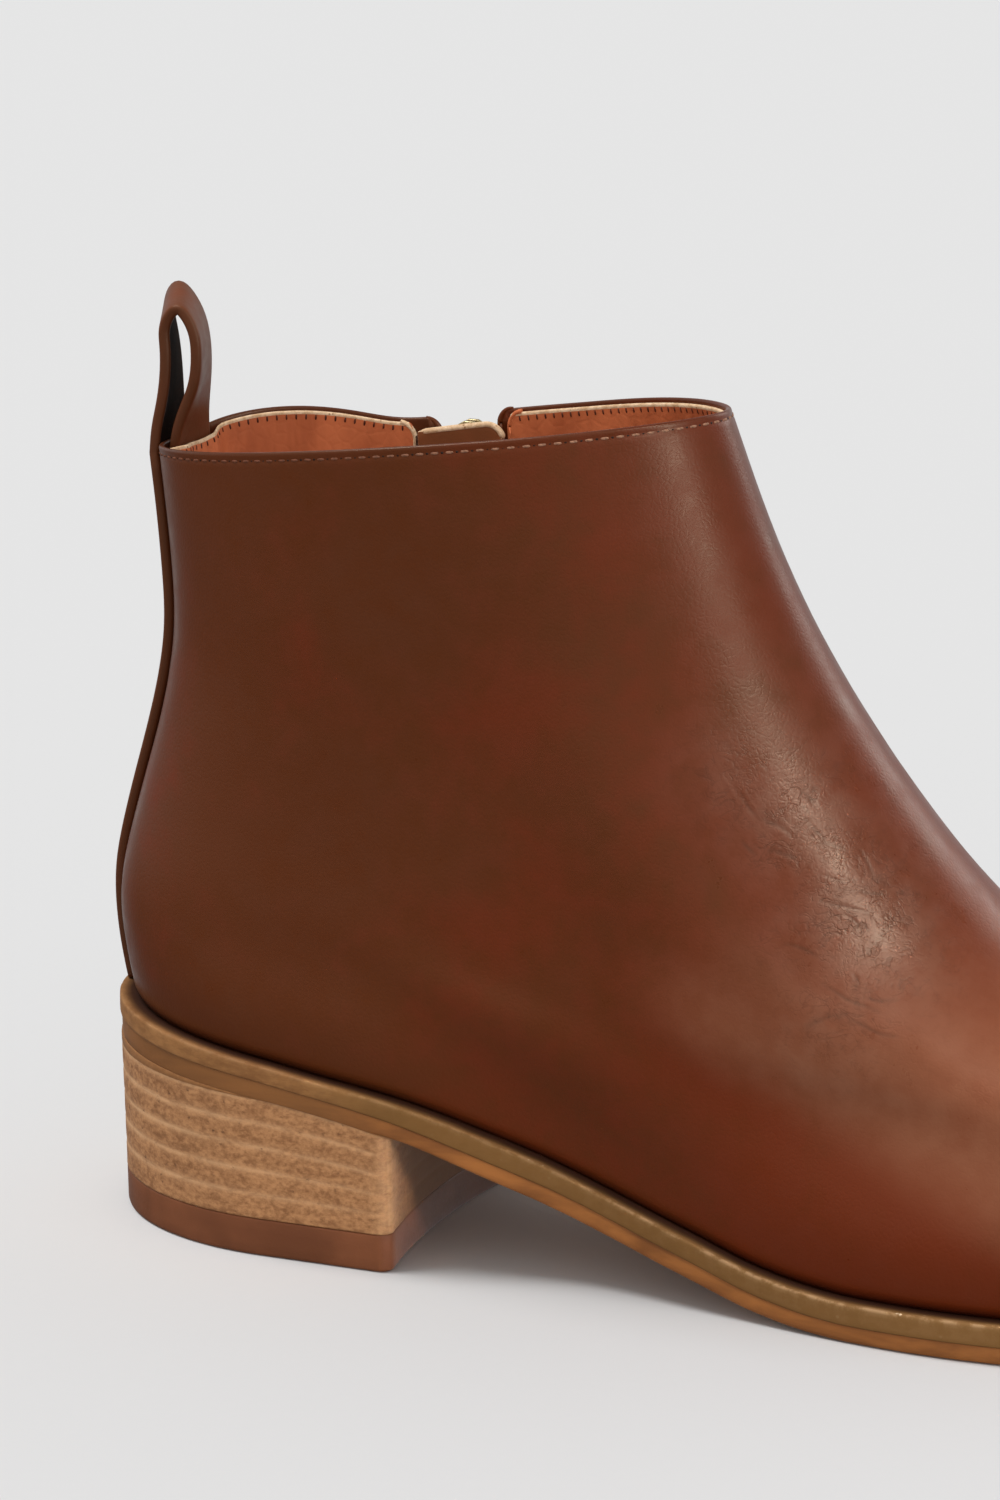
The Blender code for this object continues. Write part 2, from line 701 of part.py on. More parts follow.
def make_slider(group, cutters):
    """Slider with the bridge that holds its pull."""
    frame = slider_frame()
    deep = WALL + SLIDER_PROUD
    mesh = bpy.data.meshes.new("zip_slider")
    work = bmesh.new()
    bmesh.ops.create_cube(work, size=1.0)
    bmesh.ops.scale(work, vec=Vector((SLIDER_WIDE, SLIDER_TALL, deep)) / 1000, verts=work.verts)
    bmesh.ops.translate(work, vec=(0, 0, (SLIDER_PROUD - deep / 2) / 1000), verts=work.verts)
    work.to_mesh(mesh)
    work.free()
    slider = bpy.data.objects.new("zip_slider", mesh)
    slider.matrix_world = frame
    dress(slider, "zip_metal", group)
    edge = slider.modifiers.new("edges", "BEVEL")
    edge.width = SLIDER_BEVEL / 1000
    edge.segments = 2
    low = SLIDER_PROUD - BRIDGE_SUNK
    window = BRIDGE_HALF_TALL - BRIDGE_BAR
    roof = SLIDER_PROUD + BRIDGE_CLEAR
    outlines = [
        box_outline(-BRIDGE_HALF_TALL, BRIDGE_HALF_TALL, low, roof + BRIDGE_BAR),
        box_outline(-window, window, low + BRIDGE_SUNK / 2, roof),
    ]
    upright = frame @ Matrix(((0, 0, 1, 0), (1, 0, 0, 0), (0, 1, 0, 0), (0, 0, 0, 1)))
    bridge = hide(flat_solid("zip_bridge", outlines, BRIDGE_HALF_WIDE, upright), cutters)
    add_boolean(slider, bridge, "UNION")


def make_pull(group):
    """Pull tab, hung by its top bar under the slider's bridge, with its origin on that bar."""
    pivot = slider_frame() @ Matrix.Translation((0, 0, (SLIDER_PROUD + PULL_PIVOT) / 1000))
    bar = PULL_THICK / 2
    shoulder = -PULL_WINDOW - bar
    tip = arc_outline(PULL_TIP_HALF, PULL_TIP_HALF - PULL_LONG, range(180, 361, 30))
    edge = [(PULL_HALF, bar), (-PULL_HALF, bar), (-PULL_HALF, shoulder), *tip, (PULL_HALF, shoulder)]
    window = box_outline(-PULL_WINDOW_HALF, PULL_WINDOW_HALF, -PULL_WINDOW, -bar)
    hole = arc_outline(PULL_HOLE_RADIUS, -PULL_HOLE_AT, range(0, 360, 30))
    dress(flat_solid("zip_pull", [edge, window, hole], PULL_THICK / 2, pivot), "zip_metal", group)


def reset():
    for thing in list(bpy.data.objects):
        bpy.data.objects.remove(thing, do_unlink=True)


def new_group(name):
    group = bpy.data.collections.new(name)
    bpy.context.scene.collection.children.link(group)
    return group


def main():
    reset()
    boot = new_group("block_heel_boot")
    cutters = new_group("cutters")
    make_upper(boot, cutters)
    make_sole(boot)
    make_heel(boot)
    make_back_strip(boot)
    make_pull_loop(boot)
    make_zip_strips(boot)
    make_slider(boot, cutters)
    make_pull(boot)


main()
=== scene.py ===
import math
import bmesh
import bpy
import numpy as np
from mathutils import Matrix, Vector, noise


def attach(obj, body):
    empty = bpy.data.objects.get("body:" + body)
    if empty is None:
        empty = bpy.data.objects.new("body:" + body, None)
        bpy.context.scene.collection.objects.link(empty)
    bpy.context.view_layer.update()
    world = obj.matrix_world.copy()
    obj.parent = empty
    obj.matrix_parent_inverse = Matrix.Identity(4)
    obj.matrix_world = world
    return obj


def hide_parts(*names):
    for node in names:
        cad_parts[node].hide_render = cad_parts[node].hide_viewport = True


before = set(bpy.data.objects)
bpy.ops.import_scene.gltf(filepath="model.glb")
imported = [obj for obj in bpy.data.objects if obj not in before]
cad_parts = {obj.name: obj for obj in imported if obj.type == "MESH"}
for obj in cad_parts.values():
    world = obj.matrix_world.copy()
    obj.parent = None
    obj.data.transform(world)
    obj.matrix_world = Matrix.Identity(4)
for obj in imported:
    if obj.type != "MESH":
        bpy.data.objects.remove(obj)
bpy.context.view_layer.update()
scene = bpy.context.scene
bootGroup = bpy.data.collections.new("boot")  # what the highlight lamps shine on
print("frame loaded:", len(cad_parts), "solids")


# Shader maths: a socket with plain arithmetic, and one way to add any other node

class Wire:
    def __init__(self, tree, socket=None):
        self.tree, self.socket = tree, socket

    def add(self, kind, settings={}, sockets={}, out=0):
        node = self.tree.nodes.new("ShaderNode" + kind)
        for name, value in settings.items():
            setattr(node, name, value)
        for name, value in sockets.items():
            socket = node.inputs[name]
            if isinstance(value, Wire):
                self.tree.links.new(value.socket, socket)
            else:
                socket.default_value = (*value, 1.0) if socket.type == "RGBA" else value
        return Wire(self.tree, node.outputs[out] if node.outputs else None)

    def maths(self, operation, *values):
        return self.add("Math", {"operation": operation}, dict(enumerate(values)))

    def __add__(self, other):
        return self.maths("ADD", self, other)

    def __sub__(self, other):
        return self.maths("SUBTRACT", self, other)

    def __rsub__(self, other):
        return self.maths("SUBTRACT", other, self)

    def __mul__(self, other):
        return self.maths("MULTIPLY", self, other)

    __radd__, __rmul__ = __add__, __mul__


def newFinish(name):  # a bare material, the start of its nodes, and the object's own coordinates
    material = bpy.data.materials.new(name)
    material.use_nodes = True
    material.node_tree.nodes.clear()
    start = Wire(material.node_tree)
    return material, start, start.add("TexCoord", out="Object")


def closeFinish(start, colour, rough, relief, depth, gloss=0.5, fixed={}):  # depth in millimetres
    bump = start.add("Bump", {}, {"Strength": 1.0, "Distance": depth / 1000, "Height": relief})
    sockets = {"Base Color": colour, "Roughness": rough, "Normal": bump, "Specular IOR Level": gloss}
    surface = start.add("BsdfPrincipled", {}, {**sockets, **fixed})
    start.add("OutputMaterial", {}, {"Surface": surface})


def ease(value, low, high, start=0.0, end=1.0):  # smooth step from start to end
    sockets = {"Value": value, "From Min": low, "From Max": high, "To Min": start, "To Max": end}
    return value.add("MapRange", {"interpolation_type": "SMOOTHSTEP"}, sockets)


def mixed(share, low, high):
    return share.add("Mix", {"data_type": "RGBA"}, {0: share, 6: low, 7: high}, 2)


def cloudy(place, scale, detail=3.0, rough=0.55, bend=0.0):
    sockets = {"Vector": place, "Scale": scale, "Detail": detail, "Roughness": rough, "Distortion": bend}
    return place.add("TexNoise", {}, sockets)


def cells(place, scale, feature="F1"):
    return place.add("TexVoronoi", {"feature": feature}, {"Vector": place, "Scale": scale})


def ribbed(place, scale, direction, bend=0.0):
    sockets = {"Vector": place, "Scale": scale, "Distortion": bend}
    return place.add("TexWave", {"bands_direction": direction}, sockets, "Fac")


def stretched(place, sizes):
    return place.add("Mapping", {}, {"Vector": place, "Scale": sizes})


def axisOf(place, axis=0):
    return place.add("SeparateXYZ", {}, {0: place}, axis)


def painted(start, name):  # a value kept on the mesh's points
    return start.add("Attribute", {"attribute_name": name}, {}, "Fac")


# Finishes: scales are per metre, places in metres along the boot

chestnut = {
    "red": (0.1310, 0.0190, 0.0039), "brown": (0.0985, 0.0226, 0.0054), "dark": (0.026, 0.0072, 0.0030),
    # the pale tone is painted sheen over the toe, and the tone after it painted sheen over the creased ankle
    # front
    "pale": (0.212, 0.071, 0.0340), "wearAndSheen": (0.215, 0.122, 0.082), "tint": (1.0, 0.82, 0.62),
    "patch": 38.0, "grain": 950.0, "rough": 0.35, "relief": 0.045, "gloss": 0.32,
    "redAhead": (-0.10, 0.05), "toeRise": 2.1, "toeFrom": (0.082, 0.116), "toeBack": (-0.022, -0.002),
    "toeTop": (0.074, 0.044), "wrinkle": (280.0, 0.05), "fineWrinkle": (560.0, 0.07),
}
strapTan = {
    **chestnut, "red": (0.150, 0.0320, 0.0090), "brown": (0.118, 0.0320, 0.0100),
    "patch": 60.0, "rough": 0.46,
}
guardTan = {
    **chestnut, "red": (0.270, 0.0780, 0.0270), "brown": (0.190, 0.0600, 0.0210),
    "rough": 0.6, "gloss": 0.25,
}


def wrinkles(place, scale, width):  # thin broken lines
    bent = stretched(place, (1.0, 1.0, 1.25))
    wander = cloudy(bent, scale, 2.0, 0.5, 0.9) - 0.5
    line = ease(wander.maths("ABSOLUTE", wander), 0.0, width, 1.0, 0.0)
    return line * ease(cloudy(place, scale * 0.7), 0.42, 0.58)


def leather(name, look):
    material, start, place = newFinish(name)
    ahead, high = axisOf(place), axisOf(place, 2)
    patches = cloudy(place, look["patch"], 3.0, 0.5, 0.5)
    mottle = cloudy(place, look["patch"] * 5, 4.0, 0.6)
    redder = patches * 0.46 + mottle * 0.32 + ease(ahead, *look["redAhead"]) * 0.22
    tone = mixed(ease(redder, 0.36, 0.64), look["brown"], look["red"])
    toe = ease(ahead + high * look["toeRise"], *look["toeFrom"]) * ease(ahead, *look["toeBack"])
    toe = toe * ease(high, *look["toeTop"])
    tone = mixed(toe * ease(mottle, 0.3, 0.7, 0.75, 1.0), tone, look["pale"])  # paler over the toe: painted sheen where the forefoot faces the light
    tone = mixed(painted(start, "stainAndShade"), tone, look["dark"])  # painted shade along the welt groove and in the crease troughs, and a darker collar rim
    fold = painted(start, "fold")  # fine wrinkles at the front of the ankle
    lines = wrinkles(place, *look["wrinkle"]) + wrinkles(place, *look["fineWrinkle"]) * 0.8
    # painted sheen, paler and greyer, over the creased front of the ankle
    tone = mixed(fold * 0.42 * ease(mottle, 0.35, 0.65, 0.5, 1.0), tone, look["wearAndSheen"])
    # painted shade in the fine wrinkle lines at the front of the ankle
    tone = mixed(lines * fold * 0.34, tone, look["dark"])
    pebble = ease(cells(place, look["grain"], "DISTANCE_TO_EDGE"), 0.0, 0.25)
    pores = cloudy(place, look["grain"] * 2.4, 2.0)
    waves = cloudy(place, look["patch"] * 3, 2.0)
    relief = pebble * 0.18 + pores * 0.22 + waves * 0.7 - lines * fold * 0.6
    rough = look["rough"] + (mottle - 0.5) * 0.34 - fold * 0.05
    closeFinish(start, tone, rough, relief, look["relief"], look["gloss"], {"Specular Tint": look["tint"]})
    return material


rust = {"light": (0.640, 0.175, 0.064), "deep": (0.430, 0.105, 0.036), "rough": 0.62}
# a darker copy of the lining leather: painted shade for the insole deep inside the boot
shadedSockRust = {"light": (0.300, 0.080, 0.028), "deep": (0.185, 0.046, 0.016), "rough": 0.6}


def liningLeather(name, look):
    material, start, place = newFinish(name)
    streak = cloudy(stretched(place, (1.0, 1.0, 0.35)), 70.0, 4.0, 0.6, 0.4)
    tone = mixed(ease(streak, 0.34, 0.66), look["deep"], look["light"])
    nap = cloudy(place, 1500.0)
    relief = nap * 0.5 + ease(cells(place, 420.0, "DISTANCE_TO_EDGE"), 0.0, 0.2) * 0.5
    closeFinish(start, tone, look["rough"] + (streak - 0.5) * 0.15, relief, 0.05, 0.2)
    return material


rawEdge = {
    "low": (0.560, 0.350, 0.190), "high": (0.800, 0.585, 0.380), "fleck": (0.36, 0.19, 0.09),
    "scale": 700.0, "rough": 0.7, "relief": 0.08, "gloss": 0.25,
}
# near black: painted shade on the strap's flesh side inside the pull loop
strapFlesh = {
    "low": (0.018, 0.0075, 0.0040), "high": (0.034, 0.0140, 0.0075), "fleck": (0.06, 0.03, 0.017),
    "scale": 900.0, "rough": 0.9, "relief": 0.05, "gloss": 0.08,
}


def speckled(name, look):  # raw edges, and the strap's flesh side inside the loop, painted near black as its shade
    material, start, place = newFinish(name)
    fibre = cloudy(place, look["scale"], 4.0, 0.65)
    tone = mixed(ease(fibre, 0.32, 0.68), look["low"], look["high"])
    spots = ease(cells(place, look["scale"] * 1.7), 0.16, 0.30, 1.0, 0.0)
    spots = spots * ease(cloudy(place, look["scale"] * 0.4), 0.5, 0.62)
    tone = mixed(spots, tone, look["fleck"])
    rough = look["rough"] + (fibre - 0.5) * 0.2
    closeFinish(start, tone, rough, fibre + spots * 0.4, look["relief"], look["gloss"])
    return material


threadShade = (0.05, 0.02, 0.01)  # between the thread's strands
threads = {  # colour towards the heel, colour ahead, and where along the boot it changes: darker towards the heel as painted shade, paler ahead as painted light
    "collarThread": ((0.150, 0.046, 0.020), (0.350, 0.170, 0.100), (-0.085, -0.025)),
    # the lining's ticks: dark thread with painted shade of the stitch holes
    "liningThread": ((0.085, 0.018, 0.007), (0.110, 0.024, 0.010), (-0.1, 0.0)),
    "strapThread": ((0.120, 0.040, 0.020), (0.160, 0.055, 0.028), (-0.13, -0.10)),
    "pinholeShade": ((0.016, 0.005, 0.0025), (0.022, 0.007, 0.0035), (-0.1, 0.0)),
}


def threadFinish(name, back, front, turnAt):
    material, start, place = newFinish(name)
    # one thread colour, painted darker towards the heel as shade and paler ahead as light
    tone = mixed(ease(axisOf(place), *turnAt), back, front)
    twist = ribbed(place, 420.0, "DIAGONAL", 2.0)
    tone = mixed(ease(twist, 0.0, 0.5, 0.35, 0.0), tone, threadShade)
    closeFinish(start, tone, 0.6 + twist * 0.1, twist, 0.05, 0.25)
    return material


stackTan = {
    "dark": (0.232, 0.096, 0.034), "light": (0.450, 0.217, 0.089), "paleLineAndHighlight": (0.640, 0.370, 0.185),
    "pore": (0.120, 0.050, 0.020), "shade": (0.225, 0.090, 0.0230),
}


def stackFinish(name, look):
    material, start, place = newFinish(name)
    layers = stretched(place, (1.0, 1.0, 3.2))
    streak = cloudy(layers, 160.0, 4.0, 0.65, 0.6)
    mottle = cloudy(stretched(place, (1.0, 1.0, 1.4)), 850.0, 4.0, 0.7)
    tone = mixed(ease(streak * 0.40 + mottle * 0.60, 0.36, 0.64), look["dark"], look["light"])
    paleLineAndHighlight = painted(start, "paleLineAndHighlight") * ease(cloudy(layers, 140.0, 4.0, 0.7), 0.28, 0.58, 0.3, 1.0)
    # pale lift lines, and a painted highlight on the front corners
    tone = mixed(paleLineAndHighlight * 0.85, tone, look["paleLineAndHighlight"])
    pores = ease(cells(place, 520.0), 0.10, 0.26, 1.0, 0.0) * ease(mottle, 0.35, 0.50, 1.0, 0.0)
    tone = mixed(pores * 0.8, tone, look["pore"])
    # painted shade in the breast's hollow, the wedge's own darker brown, and a dark joint above the top
    # piece
    tone = mixed(painted(start, "stainAndShade"), tone, look["shade"])
    relief = mottle * 0.8 - pores * 0.5 + paleLineAndHighlight * 0.3
    closeFinish(start, tone, 0.56 + mottle * 0.12, relief, 0.09, 0.3)
    return material


rubberTone = {"dark": (0.142, 0.043, 0.0140), "light": (0.196, 0.062, 0.0215)}


def rubberFinish(name, look):
    material, start, place = newFinish(name)
    fine = cloudy(place, 1600.0)
    tone = mixed(ease(cloudy(place, 60.0), 0.35, 0.65), look["dark"], look["light"])
    closeFinish(start, tone, 0.52 + (fine - 0.5) * 0.2, fine, 0.03, 0.3)
    return material


soleTone = {
    "dark": (0.205, 0.067, 0.0125), "light": (0.355, 0.124, 0.0250), "walked": (0.40, 0.22, 0.11),
    "heel": (0.160, 0.068, 0.0190), "heelFrom": (-0.052, -0.080),
}


def soleFinish(name, look):
    material, start, place = newFinish(name)
    streak = cloudy(stretched(place, (0.5, 0.5, 2.0)), 90.0, 4.0, 0.6, 0.5)
    fine = cloudy(place, 1100.0)
    tone = mixed(ease(streak, 0.33, 0.68), look["dark"], look["light"])
    up = axisOf(start.add("NewGeometry", out="Normal"), 2)
    scuff = ease(cloudy(stretched(place, (1.0, 4.0, 4.0)), 55.0, 5.0, 0.7), 0.42, 0.66)
    tone = mixed(ease(up, -0.75, -0.95) * scuff * 0.6, tone, look["walked"])  # the walked-on face is paler
    tone = mixed(ease(axisOf(place), *look["heelFrom"], 0.0, 0.6), tone, look["heel"])  # browner there
    closeFinish(start, tone, 0.46 + streak * 0.14, fine + streak * 0.6, 0.035, 0.35)
    return material


weltTone = {
    "dark": (0.195, 0.082, 0.0270), "light": (0.310, 0.144, 0.0500),
    "waist": (0.155, 0.074, 0.0195), "waistFrom": (-0.085, -0.060),
    "front": (0.215, 0.104, 0.0310), "frontFrom": (-0.01, 0.06),
    "rim": (0.430, 0.260, 0.130), "rimFrom": (-0.06, 0.02),
    # the line colour is painted shade in the groove under the upper
    "line": (0.030, 0.0085, 0.0035), "fleck": (0.60, 0.45, 0.29),
}


def weltFinish(name, look):
    material, start, place = newFinish(name)
    ahead = axisOf(place)
    fibre = cloudy(stretched(place, (0.5, 0.5, 1.4)), 700.0, 5.0, 0.7, 0.3)
    drift = cloudy(place, 60.0, 4.0, 0.6)
    tone = mixed(ease(fibre * 0.45 + drift * 0.55, 0.36, 0.64), look["dark"], look["light"])
    tone = mixed(ease(ahead, *look["waistFrom"], 0.0, 0.85), tone, look["waist"])  # duller there
    tone = mixed(ease(ahead, *look["frontFrom"], 0.0, 0.7), tone, look["front"])
    rim = painted(start, "paleLineAndHighlight") * ease(ahead, *look["rimFrom"], 0.3, 1.0)  # the trimmed edge, paler ahead
    tone = mixed(rim * ease(cloudy(place, 330.0, 4.0, 0.7), 0.42, 0.62, 0.1, 0.8), tone, look["rim"])
    # painted shade, near black, on the ledge in the groove under the upper, and a dark joint just above the
    # outsole
    tone = mixed(painted(start, "stainAndShade"), tone, look["line"])
    flecks = ease(cells(place, 420.0), 0.08, 0.16, 1.0, 0.0) * ease(drift, 0.52, 0.6) * rim
    tone = mixed(flecks * 0.8, tone, look["fleck"])
    closeFinish(start, tone, 0.66 + fibre * 0.12, fibre + flecks * 0.4, 0.05, 0.15)
    return material


clothTone = {"low": (0.026, 0.0105, 0.006), "high": (0.066, 0.027, 0.0150), "scale": 420.0}


def clothFinish(name, look):
    material, start, place = newFinish(name)
    weave = ribbed(place, look["scale"], "Z") * 0.5 + ribbed(place, look["scale"], "X") * 0.5
    tone = mixed(weave, look["low"], look["high"])
    closeFinish(start, tone, 0.85 - weave * 0.1, weave, 0.10, 0.15)
    return material


brassTone = {"dull": (0.190, 0.135, 0.060), "bright": (0.400, 0.300, 0.150), "wearAndSheen": (0.560, 0.440, 0.240)}


def brassFinish(name, look):
    material, start, place = newFinish(name)
    age = cloudy(place, 380.0, 4.0, 0.65)
    edges = ease(start.add("NewGeometry", out="Pointiness"), 0.50, 0.56)
    tone = mixed(ease(age, 0.3, 0.7), look["dull"], look["bright"])
    tone = mixed(edges, tone, look["wearAndSheen"])
    closeFinish(start, tone, 0.34 + (age - 0.5) * 0.25, age, 0.02, fixed={"Metallic": 1.0})
    return material


finish = {
    "upper": leather("chestnutLeather", chestnut),
    "strap": leather("strapLeather", strapTan),
    "guard": leather("guardLeather", guardTan),
    "lining": liningLeather("rustLining", rust),
    "sock": liningLeather("sockLeather", shadedSockRust),
    "raw": speckled("rawEdge", rawEdge),
    "flesh": speckled("strapFlesh", strapFlesh),
    "welt": weltFinish("weltLeather", weltTone),
    "sole": soleFinish("soleLeather", soleTone),
    "stack": stackFinish("stackedLeather", stackTan),
    "rubber": rubberFinish("topPieceRubber", rubberTone),
    "cloth": clothFinish("zipCloth", clothTone),
    "brass": brassFinish("antiqueBrass", brassTone),
    **{name: threadFinish(name, *look) for name, look in threads.items()},
}
print("finishes made:", len(finish))


# Meshes, in millimetres from the back of the heel until they are placed

origin = (132.45, 6.6, 0.0)  # the part's origin


def inMetres(points):
    return (np.asarray(points, float) - origin) / 1000


def unit(vectors):
    return vectors / np.linalg.norm(vectors, axis=-1, keepdims=True)


def leftOf(ahead):  # unit vectors to the left of flat ones
    return unit(np.column_stack([-ahead[:, 1], ahead[:, 0]]))


def travelled(path):  # length along a line, up to each of its points
    return np.concatenate([[0], np.cumsum(np.linalg.norm(np.diff(path, axis=0), axis=1))])


def ringFaces(rows, size, closed=False):  # quads between rows of points that run round
    i, j = np.meshgrid(np.arange(rows if closed else rows - 1), np.arange(size), indexing="ij")
    here, above, side = i * size, (i + 1) % rows * size, (j + 1) % size
    return np.stack([here + j, here + side, above + side, above + j], -1).reshape(-1, 4).tolist()


def fanFaces(ring, centre):  # cover of a ring around its centre point
    return [(centre, ring[i], ring[(i + 1) % len(ring)]) for i in range(len(ring))]


def tubePoints(rows):  # the rings' points, then the middle of each end
    return np.concatenate([rows.reshape(-1, 3), rows[[0, -1]].mean(axis=1)])


def tubeFaces(count, size):
    end = count * size
    return ringFaces(count, size) + fanFaces(range(size), end) + fanFaces(range(end - size, end), end + 1)


def manyTubes(tubes):  # points and faces of small tubes that are alike
    faces = tubeFaces(*tubes[0].shape[:2])
    step = len(tubePoints(tubes[0]))
    allFaces = [tuple(k * step + i for i in face) for k in range(len(tubes)) for face in faces]
    return np.concatenate([tubePoints(rows) for rows in tubes]), allFaces


def slabFaces(rows, size):  # rows round a flat slab, with a strip of quads over each end
    faces = ringFaces(rows, size)
    for start in (0, (rows - 1) * size):
        last = start + size - 1
        faces += [(start + i, start + i + 1, last - i - 1, last - i) for i in range(size // 2 - 1)]
    return faces


def makeMesh(name, points, faces):
    mesh = bpy.data.meshes.new(name)
    mesh.from_pydata(inMetres(points).tolist(), [], faces)
    work = bmesh.new()
    work.from_mesh(mesh)
    bmesh.ops.recalc_face_normals(work, faces=work.faces)
    work.to_mesh(mesh)
    work.free()
    return mesh


def finalMesh(piece):  # with its modifiers worked out
    bpy.context.view_layer.update()
    return bpy.data.meshes.new_from_object(piece.evaluated_get(bpy.context.evaluated_depsgraph_get()))


def wear(piece, finishes, nodes=(), body="boot", sharp=None):  # finish, body and replaced nodes
    piece.data.materials.clear()
    for key in finishes.split():
        piece.data.materials.append(finish[key])
    piece.data.shade_smooth()
    if sharp:
        piece.data.set_sharp_from_angle(angle=math.radians(sharp))
    scene.collection.objects.link(piece)
    bootGroup.objects.link(piece)
    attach(piece, body)
    if nodes:
        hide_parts(*nodes)
    return piece


def addPiece(name, points, faces, finishes, slot=None, nodes=(), groups=None, values={}, sharp=None):
    mesh = makeMesh(name, points, faces)
    for key, value in values.items():
        kept = mesh.attributes.new(key, "FLOAT", "POINT")
        kept.data.foreach_set("value", np.asarray(value, np.float32).ravel())
    piece = wear(bpy.data.objects.new(name, mesh), finishes, nodes, sharp=sharp)
    if groups is not None:
        mesh.polygons.foreach_set("material_index", np.asarray(groups, np.int32))
    return piece


def rowsPiece(name, rows, finishes, **more):  # rows of rings with both ends covered
    return addPiece(name, tubePoints(rows), tubeFaces(*rows.shape[:2]), finishes, **more)


def tubeRows(path, out, profile, size=None):  # profile of (across, out) carried along a path
    ahead = unit(np.gradient(path, axis=0))
    across = unit(np.cross(ahead, out))
    out = np.cross(across, ahead)
    rows = profile[None, :, :1] * across[:, None] + profile[None, :, 1:] * out[:, None]
    return path[:, None] + (rows if size is None else rows * size[:, None, None])


def circle(radius, sides):
    turn = np.linspace(0, 2 * np.pi, sides, endpoint=False)
    return radius * np.column_stack([np.cos(turn), np.sin(turn)])


def roundedBox(wide, thick, radius, across, corner=5):  # half sizes; points round the outline
    turn = np.linspace(0, np.pi / 2, corner)
    points = []
    for k, (x, y) in enumerate(((1, 1), (-1, 1), (-1, -1), (1, -1))):
        arc = turn + k * np.pi / 2
        arcX, arcY = radius * np.cos(arc), radius * np.sin(arc)
        points += list(zip(x * (wide - radius) + arcX, y * (thick - radius) + arcY))
        if k in (0, 2):
            span = np.linspace(1, -1, across + 2)[1:-1] * (wide - radius) * x
            points += [(s, y * thick) for s in span]
    return np.array(points)


def roughen(ring, rough, grain, apart):  # moves the points a little sideways
    shifts = Vector((0, 0, 0)), Vector(apart)
    ring[:, :2] += [[rough * noise.noise(Vector(p) / grain + shift) for shift in shifts] for p in ring]


# The sole's outline and levels, as in the solids

soleShape = {
    "toe": 262.0, "back": 4.1, "gap": 0.3, "ledge": 3.0, "heelEnd": 40.0, "toeEnd": 66.0, "toePower": 1.9,
    "edge": (  # x, outer half, inner half
        (4.1, 31.8, 31.8), (45.0, 31.8, 31.8), (70.0, 31.3, 30.8), (98.0, 26.8, 24.0),
        (118.0, 28.2, 25.2), (141.0, 31.2, 32.5), (166.0, 34.2, 42.5), (186.0, 33.6, 47.0),
        (206.0, 31.0, 47.4), (262.0, 28.0, 48.0),
    ),
    "levels": (  # x, underside, outsole, welt
        (4.1, 32.6, 3.7, 3.5), (20.0, 31.4, 3.5, 3.3), (40.0, 29.8, 3.2, 3.0), (55.0, 28.0, 2.9, 2.9),
        (70.0, 25.0, 2.9, 3.3), (90.0, 17.5, 3.3, 3.8), (108.0, 11.3, 3.4, 3.6), (125.0, 5.9, 3.4, 3.6),
        (140.0, 1.7, 3.2, 3.7), (150.0, 0.3, 3.1, 3.8), (157.0, 0.0, 3.0, 3.8), (184.0, 0.0, 3.0, 3.8),
        (206.0, 1.6, 3.0, 3.8), (230.0, 5.2, 3.0, 3.7), (250.0, 9.2, 3.0, 3.6), (262.0, 12.0, 3.0, 3.5),
    ),
}


def splineWeights(knots, at):  # share of each knot in a natural cubic spline
    knots = np.asarray(knots, float)
    count, step = len(knots), np.diff(knots)
    bend, rise = np.eye(count), np.zeros((count, count))
    for i in range(1, count - 1):
        bend[i, i - 1:i + 2] = step[i - 1] / 6, (step[i - 1] + step[i]) / 3, step[i] / 6
        rise[i, i - 1:i + 2] = 1 / step[i - 1], -1 / step[i - 1] - 1 / step[i], 1 / step[i]
    second = np.linalg.solve(bend, rise)
    at = np.atleast_1d(np.asarray(at, float))
    low = np.clip(np.searchsorted(knots, at) - 1, 0, count - 2)
    span = step[low]
    far = (at - knots[low]) / span
    near = 1 - far
    curve = (near ** 3 - near)[:, None] * second[low] + (far ** 3 - far)[:, None] * second[low + 1]
    straight = near[:, None] * np.eye(count)[low] + far[:, None] * np.eye(count)[low + 1]
    return straight + curve * (span ** 2 / 6)[:, None]


def splineThrough(rows, steps):  # smooth line through points, evenly stepped
    rows = np.asarray(rows, float)
    length = travelled(rows[:, :2])
    return splineWeights(length, np.linspace(0, length[-1], steps)) @ rows


def levelCurve(at, knots, values):  # smooth, never beyond the table's values
    step = np.diff(knots)
    slope = np.diff(values) / step
    lean = np.zeros(len(knots))
    lean[0], lean[-1] = slope[0], slope[-1]
    for i in range(1, len(knots) - 1):
        if slope[i - 1] * slope[i] > 0:
            lean[i] = 2 * slope[i - 1] * slope[i] / (slope[i - 1] + slope[i])
    at = np.clip(np.asarray(at, float), knots[0], knots[-1])
    low = np.clip(np.searchsorted(knots, at) - 1, 0, len(knots) - 2)
    t = (at - knots[low]) / step[low]
    ends = values[low] * (1 + 2 * t) * (1 - t) ** 2 + values[low + 1] * t ** 2 * (3 - 2 * t)
    return ends + step[low] * t * (1 - t) * (lean[low] * (1 - t) - lean[low + 1] * t)


def wrapRound(u):
    return (np.asarray(u, float) + 1) % 2 - 1


def around(count):  # 0 at the back, the outer side to -1 at the toe, then the inner side
    return wrapRound(-2 * np.arange(count) / count)


def along(u):
    return (1 - np.cos(np.pi * np.abs(u))) / 2


def soleLevel(x, layers=0):  # 0 underside, 1 under the welt, 2 the welt's top
    knots, *steps = np.array(soleShape["levels"]).T
    gap = soleShape["gap"] if layers else 0.0
    return sum(levelCurve(x, knots, step) for step in steps[:layers + 1]) + gap


